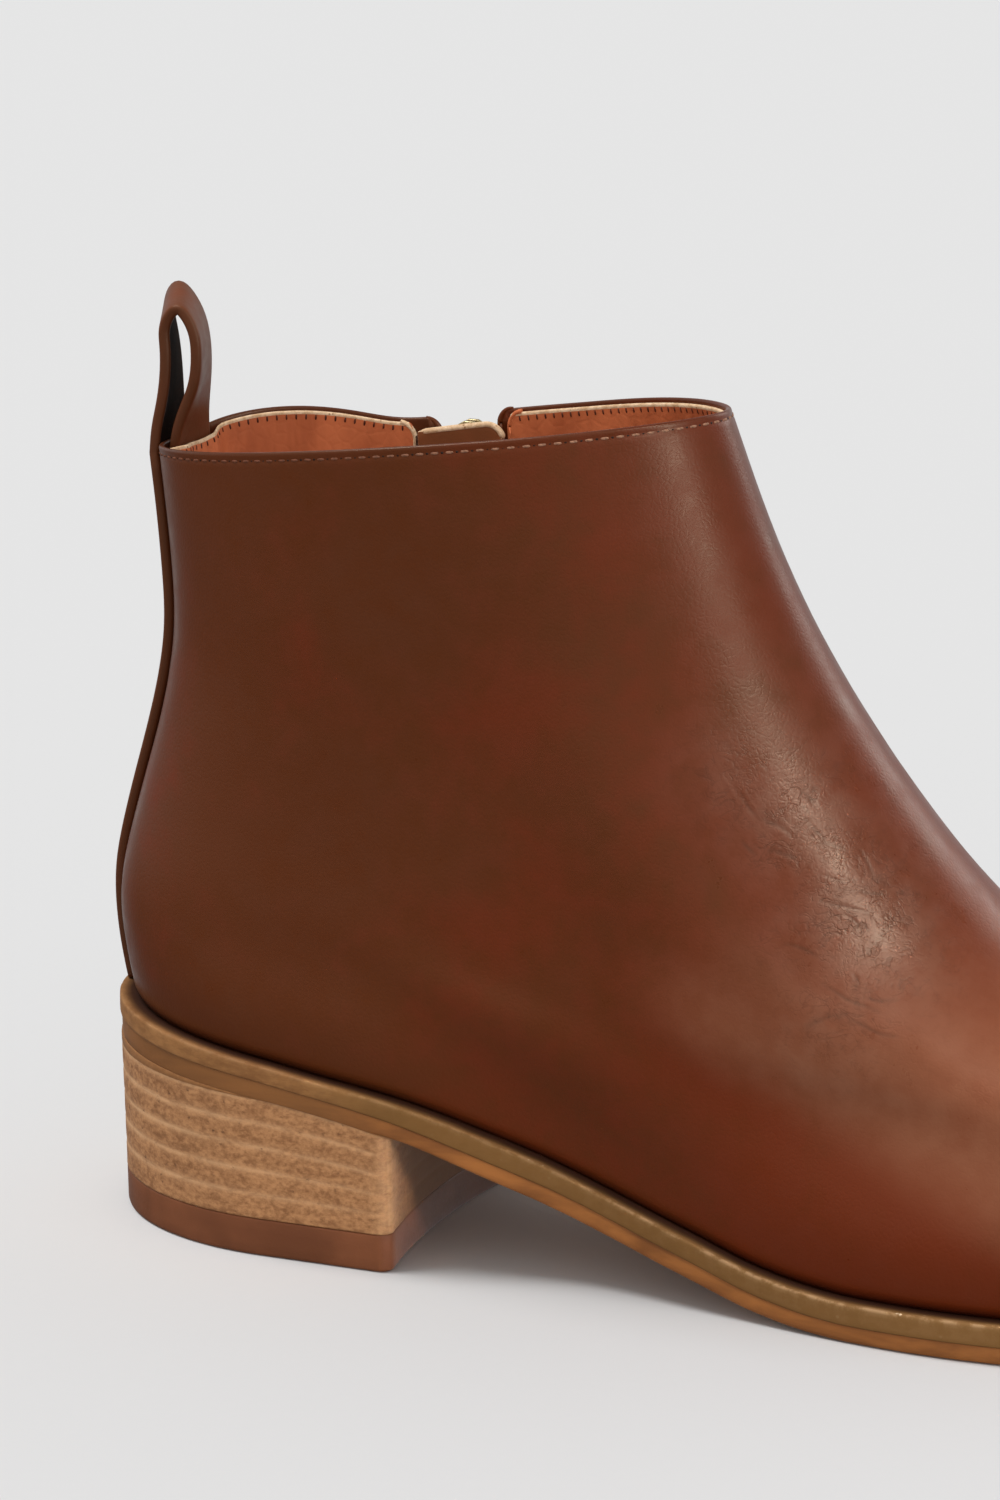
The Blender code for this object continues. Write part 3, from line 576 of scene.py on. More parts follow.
def soleEdge(u):
    u = wrapRound(u)
    knots, outer, inner = np.array(soleShape["edge"]).T
    x = soleShape["back"] + (soleShape["toe"] - soleShape["back"]) * along(u)
    weights = splineWeights(knots, x)
    outer, inner = weights @ outer, weights @ inner
    heelEnd = np.clip(1 - (x - soleShape["back"]) / soleShape["heelEnd"], 0, 1)
    toeEnd = np.clip(1 - (soleShape["toe"] - x) / soleShape["toeEnd"], 0, 1)
    power = soleShape["toePower"]
    half = (outer + inner) / 2 * np.sqrt(1 - heelEnd ** 2) * (1 - toeEnd ** power) ** (1 / power)
    return np.stack([x, (inner - outer) / 2 + np.sign(u) * half], axis=-1)


def outline(u, inset):
    nudge = 0.004
    return soleEdge(u) - inset * leftOf(soleEdge(u + nudge) - soleEdge(u - nudge))


# The upper's face, as in the solids: u around it, v from the welt to the collar

lastShape = {
    "rows": (  # back x, z; front x, z, y; end radii; outer and inner half-widths; sag, tilt
        (5.2, 56.0, 252.5, 35.0, 10.0, 26.0, 24.0, 30.3, 31.0, 33.5, 30.3, 27.0, 35.5, 0.55, 0.0),
        (6.6, 67.0, 229.0, 40.8, 8.5, 25.0, 20.0, 29.8, 31.1, 31.4, 29.8, 26.4, 30.6, 0.25, 0.0),
        (10.0, 79.0, 203.0, 47.2, 7.0, 23.0, 18.0, 28.8, 30.5, 31.0, 28.8, 26.5, 25.5, 0.08, 0.0),
        (13.9, 92.0, 178.0, 61.2, 5.0, 21.0, 16.0, 27.6, 29.5, 29.2, 27.6, 26.5, 22.3, 0.0, 0.0),
        (16.6, 105.0, 158.0, 82.2, 3.0, 19.0, 15.0, 26.5, 28.5, 26.4, 26.5, 26.7, 22.0, 0.0, 0.0),
        (16.7, 117.5, 140.5, 108.0, 1.5, 17.0, 14.0, 25.5, 28.3, 23.8, 25.5, 27.6, 22.6, 0.0, 0.0),
        (15.9, 129.0, 130.0, 129.5, 0.7, 17.0, 13.0, 24.8, 28.6, 23.0, 24.8, 28.4, 22.5, 0.0, 0.02),
        (14.8, 139.8, 121.8, 152.3, 0.0, 17.0, 12.5, 24.3, 29.3, 22.5, 24.3, 28.8, 22.5, 0.0, 0.045),
    ),
    "stations": (0.0, 0.2, 0.5, 0.8, 1.0),
    "swell": 1.3, "swellBack": 47.5, "swellFront": 27.0, "swellSag": 0.85,
    "rim": (  # wave of the collar's inner side: x, lift
        (14.8, 0.0), (17.5, 1.5), (21.0, 2.4), (27.0, 2.5), (33.0, 1.7), (39.0, 0.3), (46.0, -1.4),
        (52.0, -1.8), (68.0, -1.1), (82.0, -0.5), (97.0, 0.2), (110.0, 0.4), (121.8, 0.0),
    ),
}


def feather(u):
    edge = outline(u, soleShape["ledge"])
    return np.column_stack([edge, soleLevel(edge[:, 0], 2) + soleShape["gap"]])


def featherDip(u):
    back, front = feather(np.array([0.0, 1.0]))[:, 2]
    return feather(u)[:, 2] - (back + (front - back) * along(u))


def swelling(u):
    chord = lastShape["swellBack"] + (lastShape["swellFront"] - lastShape["swellBack"]) * along(u)
    edge = outline(u, soleShape["ledge"] - lastShape["swell"])
    return np.column_stack([edge, chord + lastShape["swellSag"] * featherDip(u)])


def lastSection(row, u):
    backX, backZ, frontX, frontZ, frontY, backRadius, frontRadius, *widths, sag, tilt = row
    share, reach, stations = along(u), frontX - backX, lastShape["stations"]
    ends = math.sqrt(backRadius * reach / 2), math.sqrt(frontRadius * reach / 2)
    oval = [2 * math.sqrt(at * (1 - at)) for at in stations[1:-1]]
    weights = splineWeights(stations, share)
    outer, inner = (
        weights @ np.array([ends[0], *np.divide(part, oval), ends[1]]) for part in (widths[:3], widths[3:])
    )
    y = frontY * share ** 2 + np.where(u < 0, -outer, inner) * np.abs(np.sin(np.pi * u))
    z = backZ + (frontZ - backZ) * share + sag * featherDip(u) - tilt * y
    return np.column_stack([backX + reach * share, y, z])


def sections(u):
    between = [lastSection(row, u) for row in lastShape["rows"]]
    knots, lift = np.array(lastShape["rim"]).T
    between[-1][:, 2] += np.where(u > 0, splineWeights(knots, between[-1][:, 0]) @ lift, 0.0)
    return np.array([feather(u), swelling(u), *between])


sectionStep = np.linalg.norm(np.diff(sections(np.array([0.0, 1.0])), axis=0), axis=2).mean(axis=1)
sectionKnots = np.concatenate([[0.0], np.cumsum(sectionStep)]) / sectionStep.sum()
tableSteps = 8000  # the sections are worked out once, closely spaced round the boot
sectionTable = sections(np.linspace(-1, 1, tableSteps + 1))


def upperAt(u, v):
    v = np.broadcast_to(v, np.shape(u))
    at = (wrapRound(u) + 1) / 2 * tableSteps
    low = np.minimum(at.astype(int), tableSteps - 1)
    far = (at - low)[:, None]
    rows = sectionTable[:, low] * (1 - far) + sectionTable[:, low + 1] * far
    return np.einsum("nr,rni->ni", splineWeights(sectionKnots, v), rows)


def upperFace(u, v):  # points and outward normals
    nudge = 0.003
    over = upperAt(u + nudge, v) - upperAt(u - nudge, v)
    rise = upperAt(u, np.minimum(v + nudge, 1)) - upperAt(u, np.maximum(v - nudge, 0))
    normals = np.cross(rise, over)
    normals[v <= 0, 2] = 0
    return upperAt(u, v), unit(normals)


outerStart, innerStart, backStart = (-0.7, 0.5), (0.5, 0.6), (0.0, 0.4)  # u, v where a search begins


def findOnUpper(targets, axis, start):  # where x or y (axis 0 or 1) and z are the targets'
    targets, nudge, most = np.asarray(targets, float), 0.001, 0.04
    u, v = (np.full(len(targets), value) for value in start)
    for _ in range(40):
        here = upperAt(u, v)
        slope = np.stack([upperAt(u + nudge, v) - here, upperAt(u, v + nudge) - here], axis=-1)
        missing = (targets - here[:, [axis, 2]])[:, :, None]
        step = np.linalg.solve(slope[:, [axis, 2]] / nudge, missing)[:, :, 0]
        step = np.clip(step, -most, most)
        u, v = u + step[:, 0], np.clip(v + step[:, 1], 0, 1)
    return upperFace(u, v)


def rimRise(u):  # step up the upper's face at the collar, for one unit of v
    return (upperAt(u, 1.0) - upperAt(u, 0.985)) / 0.015


def belowRim(u, down):  # points and normals a distance below the collar's edge
    return upperFace(u, 1 - down / np.linalg.norm(rimRise(u), axis=1))


def spreadOut(count, at, length, weight, closed):  # places evenly spaced by weighted length
    total = np.concatenate([[0], np.cumsum(np.diff(length) * (weight[1:] + weight[:-1]) / 2)])
    return np.interp(np.linspace(0, total[-1], count + closed)[:count], total, at)


roundSteps = np.linspace(-1, 1, 4001)


def columnsRound(count, height, weight):  # places round the upper, closer together where weight is more
    return spreadOut(count, roundSteps, travelled(upperAt(roundSteps, height)), weight, 1)


# Stitches along a line on a surface

stitchSizes = {  # pitch, length, radius, height over the leather
    "collarThread": (2.65, 1.6, 0.24, 0.20),
    "pinholeShade": (2.65, 0.62, 0.26, 0.07),
    "liningThread": (1.75, 1.15, 0.20, 0.14),
    "strapThread": (2.9, 1.7, 0.22, 0.08),
}


def addStitches(name, path, normals, thread, upright=False, between=False):
    pitch, long, radius, high = stitchSizes[thread]
    length = travelled(path)
    count = int(length[-1] / pitch)
    pitch = length[-1] / count
    spread, middle = np.linspace(-1, 1, 7), 3
    lift = (high - radius - radius * 0.9 * spread ** 4)[:, None]  # the ends dive into the leather
    taper = np.sqrt(1 - 0.95 * np.abs(spread) ** 3)
    stitches = []
    for k in np.arange(1, count) if between else np.arange(count) + 0.5:
        at = k * pitch + spread * long / 2
        line = np.stack([np.interp(at, length, part) for part in path.T], axis=1)
        out = unit(np.stack([np.interp(at, length, part) for part in normals.T], axis=1))
        if upright:  # turned a quarter, across the row
            line = line[middle] + np.cross(out[middle], line - line[middle])
        stitches.append(tubeRows(line + out * lift, out, circle(radius, 8), taper))
    addPiece(name, *manyTubes(stitches), thread)


# Upper: outer leather with a rounded rim, tucked in at the welt, creased at the front of the ankle

upperLook = {
    "columns": 390, "rows": 176, "insideRows": 36, "thick": 1.0, "rimBand": 6.0,
    "rimRows": (5.0, 4.0, 3.2, 2.6, 2.2, 1.9, 1.6, 1.35, 1.1, 0.8, 0.5),
    "closeU": (-0.865, -0.62), "closeV": (0.28, 0.66), "closer": 5.5,
    "columnsAt": 0.35, "weltCloser": 6.0, "weltReach": 0.012, "weltGap": 0.02,
    "tuckIn": 0.7, "tuckHigh": 2.2, "stitchDown": 1.45, "stitchDip": 0.10, "stitchWide": 0.45,
    "uneven": ((0.10, 22.0), (0.05, 9.0)),  # height and size of slow waves in the leather
    # weltDark and creaseDark paint shade into the welt groove and the crease troughs
    "weltDark": (0.5, 1.3), "rimDark": (0.2, 0.6), "creaseDark": 0.42, "insideDark": 0.3,  # share, reach
    "creaseShare": 0.5, "creaseLip": 0.4,
    "foldCentres": (  # x, z, radius, strength
        (154.0, 70.5, 16.0, 1.0), (142.0, 86.5, 14.0, 0.8),
        (132.0, 94.0, 11.0, 0.6), (154.0, 57.5, 12.0, 0.6),
    ),
    "creases": (  # depth, half-width, then points x, z on the outer side
        (0.12, 0.38, (147.5, 74.0), (150.0, 73.2), (153.0, 72.2), (155.5, 71.2)),
        (0.10, 0.34, (151.3, 71.8), (153.2, 70.5), (154.5, 69.0)),
        (0.11, 0.38, (159.0, 71.2), (158.3, 69.2), (157.0, 67.4), (155.2, 65.2)),
        (0.08, 0.34, (155.2, 65.2), (156.2, 65.6), (157.0, 66.6)),
        (0.08, 0.34, (152.3, 75.4), (154.2, 74.4), (156.3, 74.2)),
        (0.07, 0.34, (147.8, 77.7), (149.8, 76.7), (152.0, 76.8)),
        (0.07, 0.34, (151.5, 81.0), (153.2, 78.6), (154.2, 76.6)),
        (0.11, 0.38, (136.0, 87.2), (138.5, 86.4), (140.0, 85.6), (141.5, 84.5)),
        (0.08, 0.34, (136.6, 88.2), (139.0, 87.3), (141.3, 86.8)),
        (-0.07, 0.38, (127.7, 95.9), (129.8, 94.8), (132.8, 93.6)),
        (-0.07, 0.38, (129.0, 94.9), (131.1, 92.5), (133.1, 89.4), (135.3, 87.2)),
        (0.07, 0.34, (133.1, 91.4), (134.3, 89.4), (135.8, 87.8)),
        (0.07, 0.34, (142.4, 87.3), (143.1, 88.8), (143.7, 90.2)),
        (0.07, 0.34, (141.4, 90.9), (143.0, 89.7), (144.8, 88.6)),
        (0.08, 0.34, (143.5, 86.3), (145.3, 84.3), (146.6, 83.0)),
        (0.07, 0.34, (145.5, 83.2), (148.0, 82.0), (149.7, 81.4)),
        (0.06, 0.34, (134.3, 83.8), (135.5, 82.5), (136.6, 81.6)),
        (0.06, 0.36, (138.7, 82.2), (141.0, 81.5), (143.2, 80.5)),
        (0.06, 0.36, (143.3, 67.5), (146.9, 66.5), (148.6, 65.5)),
        (0.08, 0.36, (150.4, 61.1), (152.5, 60.1), (154.2, 59.1), (157.0, 58.2), (159.5, 57.2)),
        (0.07, 0.34, (154.6, 62.9), (155.6, 61.7), (155.2, 60.1)),
        (0.08, 0.36, (148.0, 54.2), (150.5, 55.5), (153.0, 56.4), (154.7, 56.5)),
        (0.07, 0.36, (154.8, 56.1), (157.0, 55.3), (160.2, 53.9), (163.4, 53.4)),
        (0.06, 0.34, (157.1, 59.3), (159.3, 58.8), (162.0, 58.9)),
    ),
    "dents": (  # soft hollows and swells: x, z, radius, depth
        (157.0, 63.0, 9.0, 0.35), (149.0, 78.0, 8.0, -0.25), (142.0, 70.0, 10.0, 0.30),
        (134.0, 79.0, 9.0, 0.20), (165.0, 56.0, 10.0, 0.25), (126.0, 88.0, 10.0, -0.15),
    ),
}


def bell(distance, reach):
    return np.exp(-(distance / reach) ** 2)


def nearBox(at, low, high, soft=0.012):
    return 1 / (1 + np.exp(-(at - low) / soft)) / (1 + np.exp((at - high) / soft))


def roundAbout(points, x, z, radius):  # 1 at a place on the outer side, fading with distance
    centre, _ = findOnUpper([(x, z)], 0, outerStart)
    return bell(np.linalg.norm(points - centre, axis=1), radius)


def creaseRelief(points, look):  # height at each point, how strong the folds are there, and the crease troughs, which get painted shade
    height, fold, dark = np.zeros((3, len(points)))
    count, searched = 30, 25.0
    tapers = np.sin(np.pi * (np.arange(count) + 2) / (count + 3)) ** 0.6
    for depth, half, *line in look["creases"]:
        line, _ = findOnUpper(splineThrough(line, count), 0, outerStart)
        near = np.flatnonzero(np.linalg.norm(points - line.mean(axis=0), axis=1) < searched)
        gap = np.linalg.norm(points[near][:, None] - line[None], axis=2)
        reach, taper = gap.min(axis=1), tapers[gap.argmin(axis=1)]
        trough, lip = taper * bell(reach, half), taper * bell(reach - 2 * half, half)
        height[near] += depth * look["creaseShare"] * (look["creaseLip"] * lip - trough)
        if depth > 0:
            dark[near] = np.maximum(dark[near], trough)
    for *spot, depth in look["dents"]:
        height -= depth * roundAbout(points, *spot)
    for *spot, strength in look["foldCentres"]:
        fold = np.maximum(fold, strength * roundAbout(points, *spot))
    return height, fold, dark


def upperLeather(look):
    closer, thick = look["closer"], look["thick"]
    weight = 1 + closer * nearBox(roundSteps, *look["closeU"])
    u = columnsRound(look["columns"], look["columnsAt"], weight)
    fine = np.linspace(0, 1, 2001)
    weight = 1 + closer * nearBox(fine, *look["closeV"])
    weight = weight + look["weltCloser"] * np.exp(-fine / look["weltReach"])
    rise = rimRise(u)
    tall = np.linalg.norm(rise, axis=1)
    v = [share * (1 - look["rimBand"] / tall) for share in spreadOut(look["rows"], fine, fine, weight, 0)]
    v = np.array(v + [1 - down / tall for down in look["rimRows"]])
    points, normals = upperFace(np.tile(u, len(v)), v.ravel())
    down = ((1 - v) * tall).ravel()
    above = (v * np.linalg.norm(upperAt(u, 0.01) - upperAt(u, 0.0), axis=1) / 0.01).ravel()
    relief, fold, line = creaseRelief(points, look)
    relief += [sum(high * noise.noise(Vector(p) / size) for high, size in look["uneven"]) for p in points]
    relief -= look["stitchDip"] * bell(down - look["stitchDown"], look["stitchWide"])
    tuck = np.clip(1 - above / look["tuckHigh"], 0, 1) ** 2
    relief = relief * (1 - tuck) - look["tuckIn"] * tuck
    (weltShare, weltReach), (rimShare, rimReach) = look["weltDark"], look["rimDark"]
    # painted shade in the groove at the welt and in the crease troughs; the collar rim and the inner face
    # are darker
    stainAndShade = np.maximum(weltShare * bell(above, weltReach), rimShare * bell(down, rimReach))
    stainAndShade = np.maximum(stainAndShade, look["creaseDark"] * line)
    outer = (points + relief[:, None] * normals).reshape(*v.shape, 3)
    outer[0, :, 2] -= soleShape["gap"] - look["weltGap"]  # the leather comes down to the welt
    radius, lift = thick / 2, unit(rise)
    edge, edgeOut = outer[-1], normals.reshape(*v.shape, 3)[-1]
    rings = list(outer)
    for t in np.radians(range(20, 181, 20)):  # over the rim
        rings.append(edge + radius * ((math.cos(t) - 1) * edgeOut + math.sin(t) * lift))
    for share in np.linspace(0.985, 0, look["insideRows"]):  # down the inside
        points, normals = upperFace(u, share * (1 - radius / tall))
        rings.append(points - (thick + (look["tuckIn"] if share == 0 else 0)) * normals)
    rest = (len(rings) - len(v)) * len(u)
    values = {
        "stainAndShade": np.append(stainAndShade, np.full(rest, look["insideDark"])),
        "fold": np.append(fold, np.zeros(rest)),
    }
    faces = ringFaces(len(rings), len(u), closed=True)
    points = np.concatenate(rings)
    return addPiece("upperLeather", points, faces, "upper", "upper_leather", ("upper",), values=values)


# Zip opening

zipLook = {
    "x": 60.6, "lean": 0.03, "low": 56.0, "slotHalf": 6.0, "slotRound": 5.0, "corner": 3.0,
    "liningHalf": 9.4, "liningBack": 1.2, "sliderZ": 135.4, "rimZ": 140.0, "proud": 0.8,
}


def zipX(z):
    return zipLook["x"] + zipLook["lean"] * (zipLook["sliderZ"] - np.asarray(z, float))


def onZip(across, z):  # points and normals on the upper beside the zip's middle
    across, z = np.broadcast_arrays(np.asarray(across, float), np.asarray(z, float))
    targets = np.column_stack([(zipX(z) + across).ravel(), z.ravel()])
    points, normals = findOnUpper(targets, 0, innerStart)
    return points.reshape(*z.shape, 3), normals.reshape(*z.shape, 3)


def slotTop(side, half, back):  # where the opening's side starts to round out below the collar
    corner = zipLook["corner"]
    rim = upperAt(np.linspace(0.2, 0.8, 600), 1.0)  # along the inner side
    return np.interp(zipX(zipLook["rimZ"]) + side * (half + corner) - back, rim[:, 0], rim[:, 2]) - corner


def slotLine(half, back=0.0, topDown=0.0):  # round the opening, from one rim to the other
    middleZ, corner, steps = zipLook["low"] + zipLook["slotRound"], zipLook["corner"], 50
    turn, bend = np.radians(np.linspace(270, 360, 13)), np.radians(np.linspace(0, 82, 9))
    wide = np.concatenate([half * np.cos(turn), np.full(steps, half), half + corner * (1 - np.cos(bend))])
    sides = []
    for side in (-1, 1):
        top = slotTop(side, half, back) - topDown
        straight = np.linspace(middleZ, top, steps + 1)[1:]
        z = np.concatenate([middleZ + half * np.sin(turn), straight, top + corner * np.sin(bend)])
        sides.append(np.column_stack([side * wide - back, z]))
    return onZip(*np.concatenate([sides[0][:0:-1], sides[1]]).T)


def cutSlot(piece, half, back=0.0):
    middleZ, corner, deep, steps = zipLook["low"] + zipLook["slotRound"], zipLook["corner"], 9.0, 24
    turn, bend = np.radians(np.linspace(12, 78, 7)), np.radians(np.linspace(0, 86, 9))[1:]
    wide = np.concatenate([half * np.sin(turn), np.full(steps, half), half + corner * (1 - np.cos(bend))])
    share = np.linspace(-1, 1, 9)
    top = np.interp(share, (-1, 1), [slotTop(side, half, back) for side in (-1, 1)])
    z = [np.full(len(share), middleZ - half * math.cos(t)) for t in turn]
    z += [middleZ + (top - middleZ) * s for s in np.linspace(0, 1, steps)]
    z += [top + corner * math.sin(t) for t in bend]
    points, normals = onZip(share[None] * wide[:, None] - back, np.array(z))
    rows = np.concatenate([points - deep * normals, (points + deep * normals)[:, ::-1]], axis=1)
    rows = np.concatenate([rows, rows[-1:] + (0.0, 0.0, 14.0)])  # on up past the collar
    cutter = makeMesh("slotCutter", rows.reshape(-1, 3), slabFaces(*rows.shape[:2]))
    cutter = bpy.data.objects.new("slotCutter", cutter)
    scene.collection.objects.link(cutter)
    cut = piece.modifiers.new("slot", "BOOLEAN")
    cut.operation, cut.object, cut.solver = "DIFFERENCE", cutter, "MANIFOLD"
    mesh = finalMesh(piece)
    piece.modifiers.clear()
    piece.data = mesh
    bpy.data.objects.remove(cutter)


def roundFromZip(u, row, half, back=0.0):  # order of a row below the collar, from the zip round to the zip
    slot = (u > 0) & (np.abs(row[:, 0] - zipLook["x"] + back) < half)
    first, last = np.flatnonzero(slot)[[0, -1]]
    return np.concatenate([np.arange(last + 1, len(u) - 1), np.arange(0, first)])


upper = upperLeather(upperLook)
cutSlot(upper, zipLook["slotHalf"])
print("upper leather:", len(upper.data.polygons), "faces")


# Turned edge round the zip opening, and the stitches beside it and below the collar

trimLook = {
    "bead": 0.66, "beadIn": 0.6, "beadFade": 18.0, "beadLeast": 0.15,
    "zipOut": 2.4, "zipTopDown": 2.6, "collarShort": 1.2,
}


def upperTrim(look):
    edge, out = slotLine(zipLook["slotHalf"])
    ends = np.linspace(0, 1, len(edge)) * look["beadFade"]
    ends = np.minimum(ends, ends[::-1]) + look["beadLeast"]
    ends = np.sqrt(np.clip(ends, 0, 1))  # the bead fades into the rim
    bead = tubeRows(edge - look["beadIn"] * out, out, circle(look["bead"], 12), ends)
    rowsPiece("zipTurnedEdge", bead, "upper", slot="upper_leather")
    row, out = slotLine(zipLook["slotHalf"] + look["zipOut"], topDown=look["zipTopDown"])
    addStitches("zipStitches", row, out, "collarThread")
    u = np.linspace(-1, 1, 1201)
    row, out = belowRim(u, upperLook["stitchDown"])
    row -= upperLook["stitchDip"] * out
    order = roundFromZip(u, row, zipLook["slotHalf"] + look["collarShort"])
    addStitches("collarStitches", row[order], out[order], "collarThread")
    addStitches("collarPinholes", row[order], out[order], "pinholeShade", between=True)


upperTrim(trimLook)
print("trim and stitches made")


# Lining: a shell inside the leather with a raw pale edge, bulging over the strap's inner end

liningLook = {
    "columns": 300, "columnsAt": 0.7, "closer": 3.0, "closeReach": 0.12, "sideRows": 40, "sideDown": 8.0,
    "outerDown": (5.0, 2.5), "innerDown": (3.0, 4.0, 5.5), "outerIn": 0.1,
    "depth": (1.02, 1.76), "down": 0.72, "bead": 0.50, "beadEnd": 0.12, "turnedEdge": 0.12,
    "bulge": 3.5, "bulgeHalf": 6.6, "bulgeFade": 5.0, "bulgeDown": (10.0, 24.0),
    "bulgeFront": 40.0, "frontFade": 10.0,
    "tickDown": 1.85, "tickShort": 1.0,
}


def liningDepth(points, down, look):  # extra depth over the strap's end
    top, bottom = look["bulgeDown"]
    wide = np.clip((np.abs(points[:, 1]) - look["bulgeHalf"]) / look["bulgeFade"], 0, 1)
    low = np.clip((down - top) / (bottom - top), 0, 1)
    behind = np.clip((look["bulgeFront"] - points[:, 0]) / look["frontFade"], 0, 1)
    return look["bulge"] * (1 - wide ** 2 * (3 - 2 * wide)) * (1 - low ** 2 * (3 - 2 * low)) * behind


def liningPieces(look):
    weight = 1 + look["closer"] * bell(roundSteps, look["closeReach"])
    u = columnsRound(look["columns"], look["columnsAt"], weight)
    tall = np.linalg.norm(rimRise(u), axis=1)
    thin, thick = look["depth"]
    half, down, beadDown = (thick - thin) / 2, look["down"], look["down"] + look["bead"]
    shares, sideTop = np.linspace(0.02, 0.97, look["sideRows"]), 1 - look["sideDown"] / tall
    rows = [(share * sideTop, thin + look["outerIn"]) for share in shares]  # up the outside
    rows += [(1 - at / tall, thin) for at in (*look["outerDown"], down + half)]
    for t in np.radians((30, 60, 90, 120, 150, 180)):  # over the raw edge
        rows.append((1 - (down + half - half * math.sin(t)) / tall, thin + half - half * math.cos(t)))
    rawRows = slice(len(rows) - 5, len(rows) + 1)
    levels = (beadDown, beadDown + look["beadEnd"], *look["innerDown"], look["sideDown"])
    rows += [(1 - at / tall, thick) for at in levels]
    rows += [(share * sideTop, thick) for share in shares[::-1]]  # down the inside
    rings = []
    for v, depth in rows:
        points, normals = upperFace(u, v)
        rings.append(points - (depth + liningDepth(points, (1 - v) * tall, look))[:, None] * normals)
    groups = np.zeros((len(rings), len(u)), int)
    groups[rawRows] = 1
    faces = ringFaces(len(rings), len(u), closed=True)
    points = np.concatenate(rings)
    lining = addPiece("lining", points, faces, "lining raw", "insole_leather", groups=groups.ravel())
    cutSlot(lining, zipLook["liningHalf"], zipLook["liningBack"])
    edge, out = slotLine(zipLook["liningHalf"], zipLook["liningBack"], topDown=down)
    rows = tubeRows(edge - (thin + half) * out, out, circle(half + look["turnedEdge"], 10))
    turn = len(edge) // 2
    rowsPiece("liningRawEdge", rows[:turn + 1], "raw")
    rowsPiece("liningTurnedEdge", rows[turn:], "lining")
    u = np.linspace(-1, 1, 1201)
    row, out = belowRim(u, look["tickDown"])
    row -= (thick + liningDepth(row, look["tickDown"], look))[:, None] * out
    order = roundFromZip(u, row, zipLook["liningHalf"] + look["tickShort"], zipLook["liningBack"])
    addStitches("liningStitches", row[order], -out[order], "liningThread", upright=True)


liningPieces(liningLook)
print("lining made")


# Strap up the back, over the collar as a loop, and down between the leather and the lining

strapLook = {
    "half": 6.0, "thick": 2.0, "round": 0.8, "gap": 0.3, "low": 40.6, "high": 136.4,
    "rows": 70, "loopRows": 110, "edgeDark": 0.35, "edgeFrom": 5.6,
    "stitchIn": 1.5, "stitchLow": 46.0, "stitchHigh": 134.0,
    "loop": (  # x, z, twist, bow, roll
        (13.5, 138.0, 0.0, 1.0, 0.0), (13.7, 142.0, 4.0, 0.9, 0.0), (14.5, 147.0, 11.0, 0.5, 2.0),
        (15.2, 153.0, 17.0, 0.1, 5.0), (15.0, 158.4, 21.0, 0.0, 9.0), (15.0, 162.4, 24.0, 0.0, 12.0),
        (17.1, 165.2, 26.0, 0.0, 14.0), (19.8, 162.8, 24.0, 0.0, 12.0), (21.3, 158.0, 20.0, 0.0, 8.0),
        (20.9, 151.0, 15.0, 0.1, 4.0), (19.1, 145.0, 6.0, 0.4, 0.0), (17.9, 139.0, -2.0, 0.9, 0.0),
        (18.8, 131.0, 0.0, 1.0, 0.0),
    ),
}


def strapPieces(look):
    half, gap, thick = look["half"], look["gap"], look["thick"]
    across, out = roundedBox(half, thick / 2, look["round"], 9).T
    heights = np.linspace(look["low"], look["high"], look["rows"])
    targets = np.stack(np.broadcast_arrays(across[None], heights[:, None]), axis=-1).reshape(-1, 2)
    points, normals = findOnUpper(targets, 1, backStart)
    lift = np.tile(gap + thick / 2 + out, len(heights))
    strip = (points + lift[:, None] * normals).reshape(len(heights), -1, 3)
    strip[0, :, 2] = np.minimum(strip[0, :, 2], look["low"])
    x, z, twist, bow, roll = splineThrough(look["loop"], look["loopRows"]).T
    flat, turn = np.zeros(len(x)), np.radians(twist)
    ahead = np.stack([np.gradient(x), flat, np.gradient(z)], axis=1)
    wide = unit(np.stack([-np.sin(turn), np.cos(turn), np.sin(np.radians(roll))], axis=1))
    deep = unit(np.cross(ahead, wide))
    loop = np.stack([x, flat, z], axis=1)[:, None] + across[None, :, None] * wide[:, None]
    loop += out[None, :, None] * deep[:, None]
    loop[:, :, 0] += bow[:, None] * (across / half) ** 2
    rows = np.concatenate([strip, loop])
    side = np.tile(look["edgeDark"] * (np.abs(across) > look["edgeFrom"]), len(rows))
    values = {"stainAndShade": np.append(side, [0, 0]), "fold": np.zeros(len(side) + 2)}
    groups = np.zeros((len(rows) + 1, len(across)), int)
    inside = (out < 0) & (out == np.roll(out, -1))
    groups[len(strip):len(rows) - 1, inside] = 1  # the flesh side shows inside the loop, painted near black as shade
    rowsPiece("backStrap", rows, "strap flesh", slot="strap_leather", nodes=("back_strip", "pull_loop"),
              values=values, groups=groups.ravel())
    z = np.linspace(look["stitchLow"], look["stitchHigh"], 120)
    for name, side in (("Outer", -1), ("Inner", 1)):
        targets = np.column_stack([np.full(len(z), side * (half - look["stitchIn"])), z])
        points, normals = findOnUpper(targets, 1, backStart)
        addStitches("strapStitches" + name, points + (gap + thick) * normals, normals, "strapThread")


strapPieces(strapLook)
print("strap made")


# Sole: welt ring, outsole and the sock inside

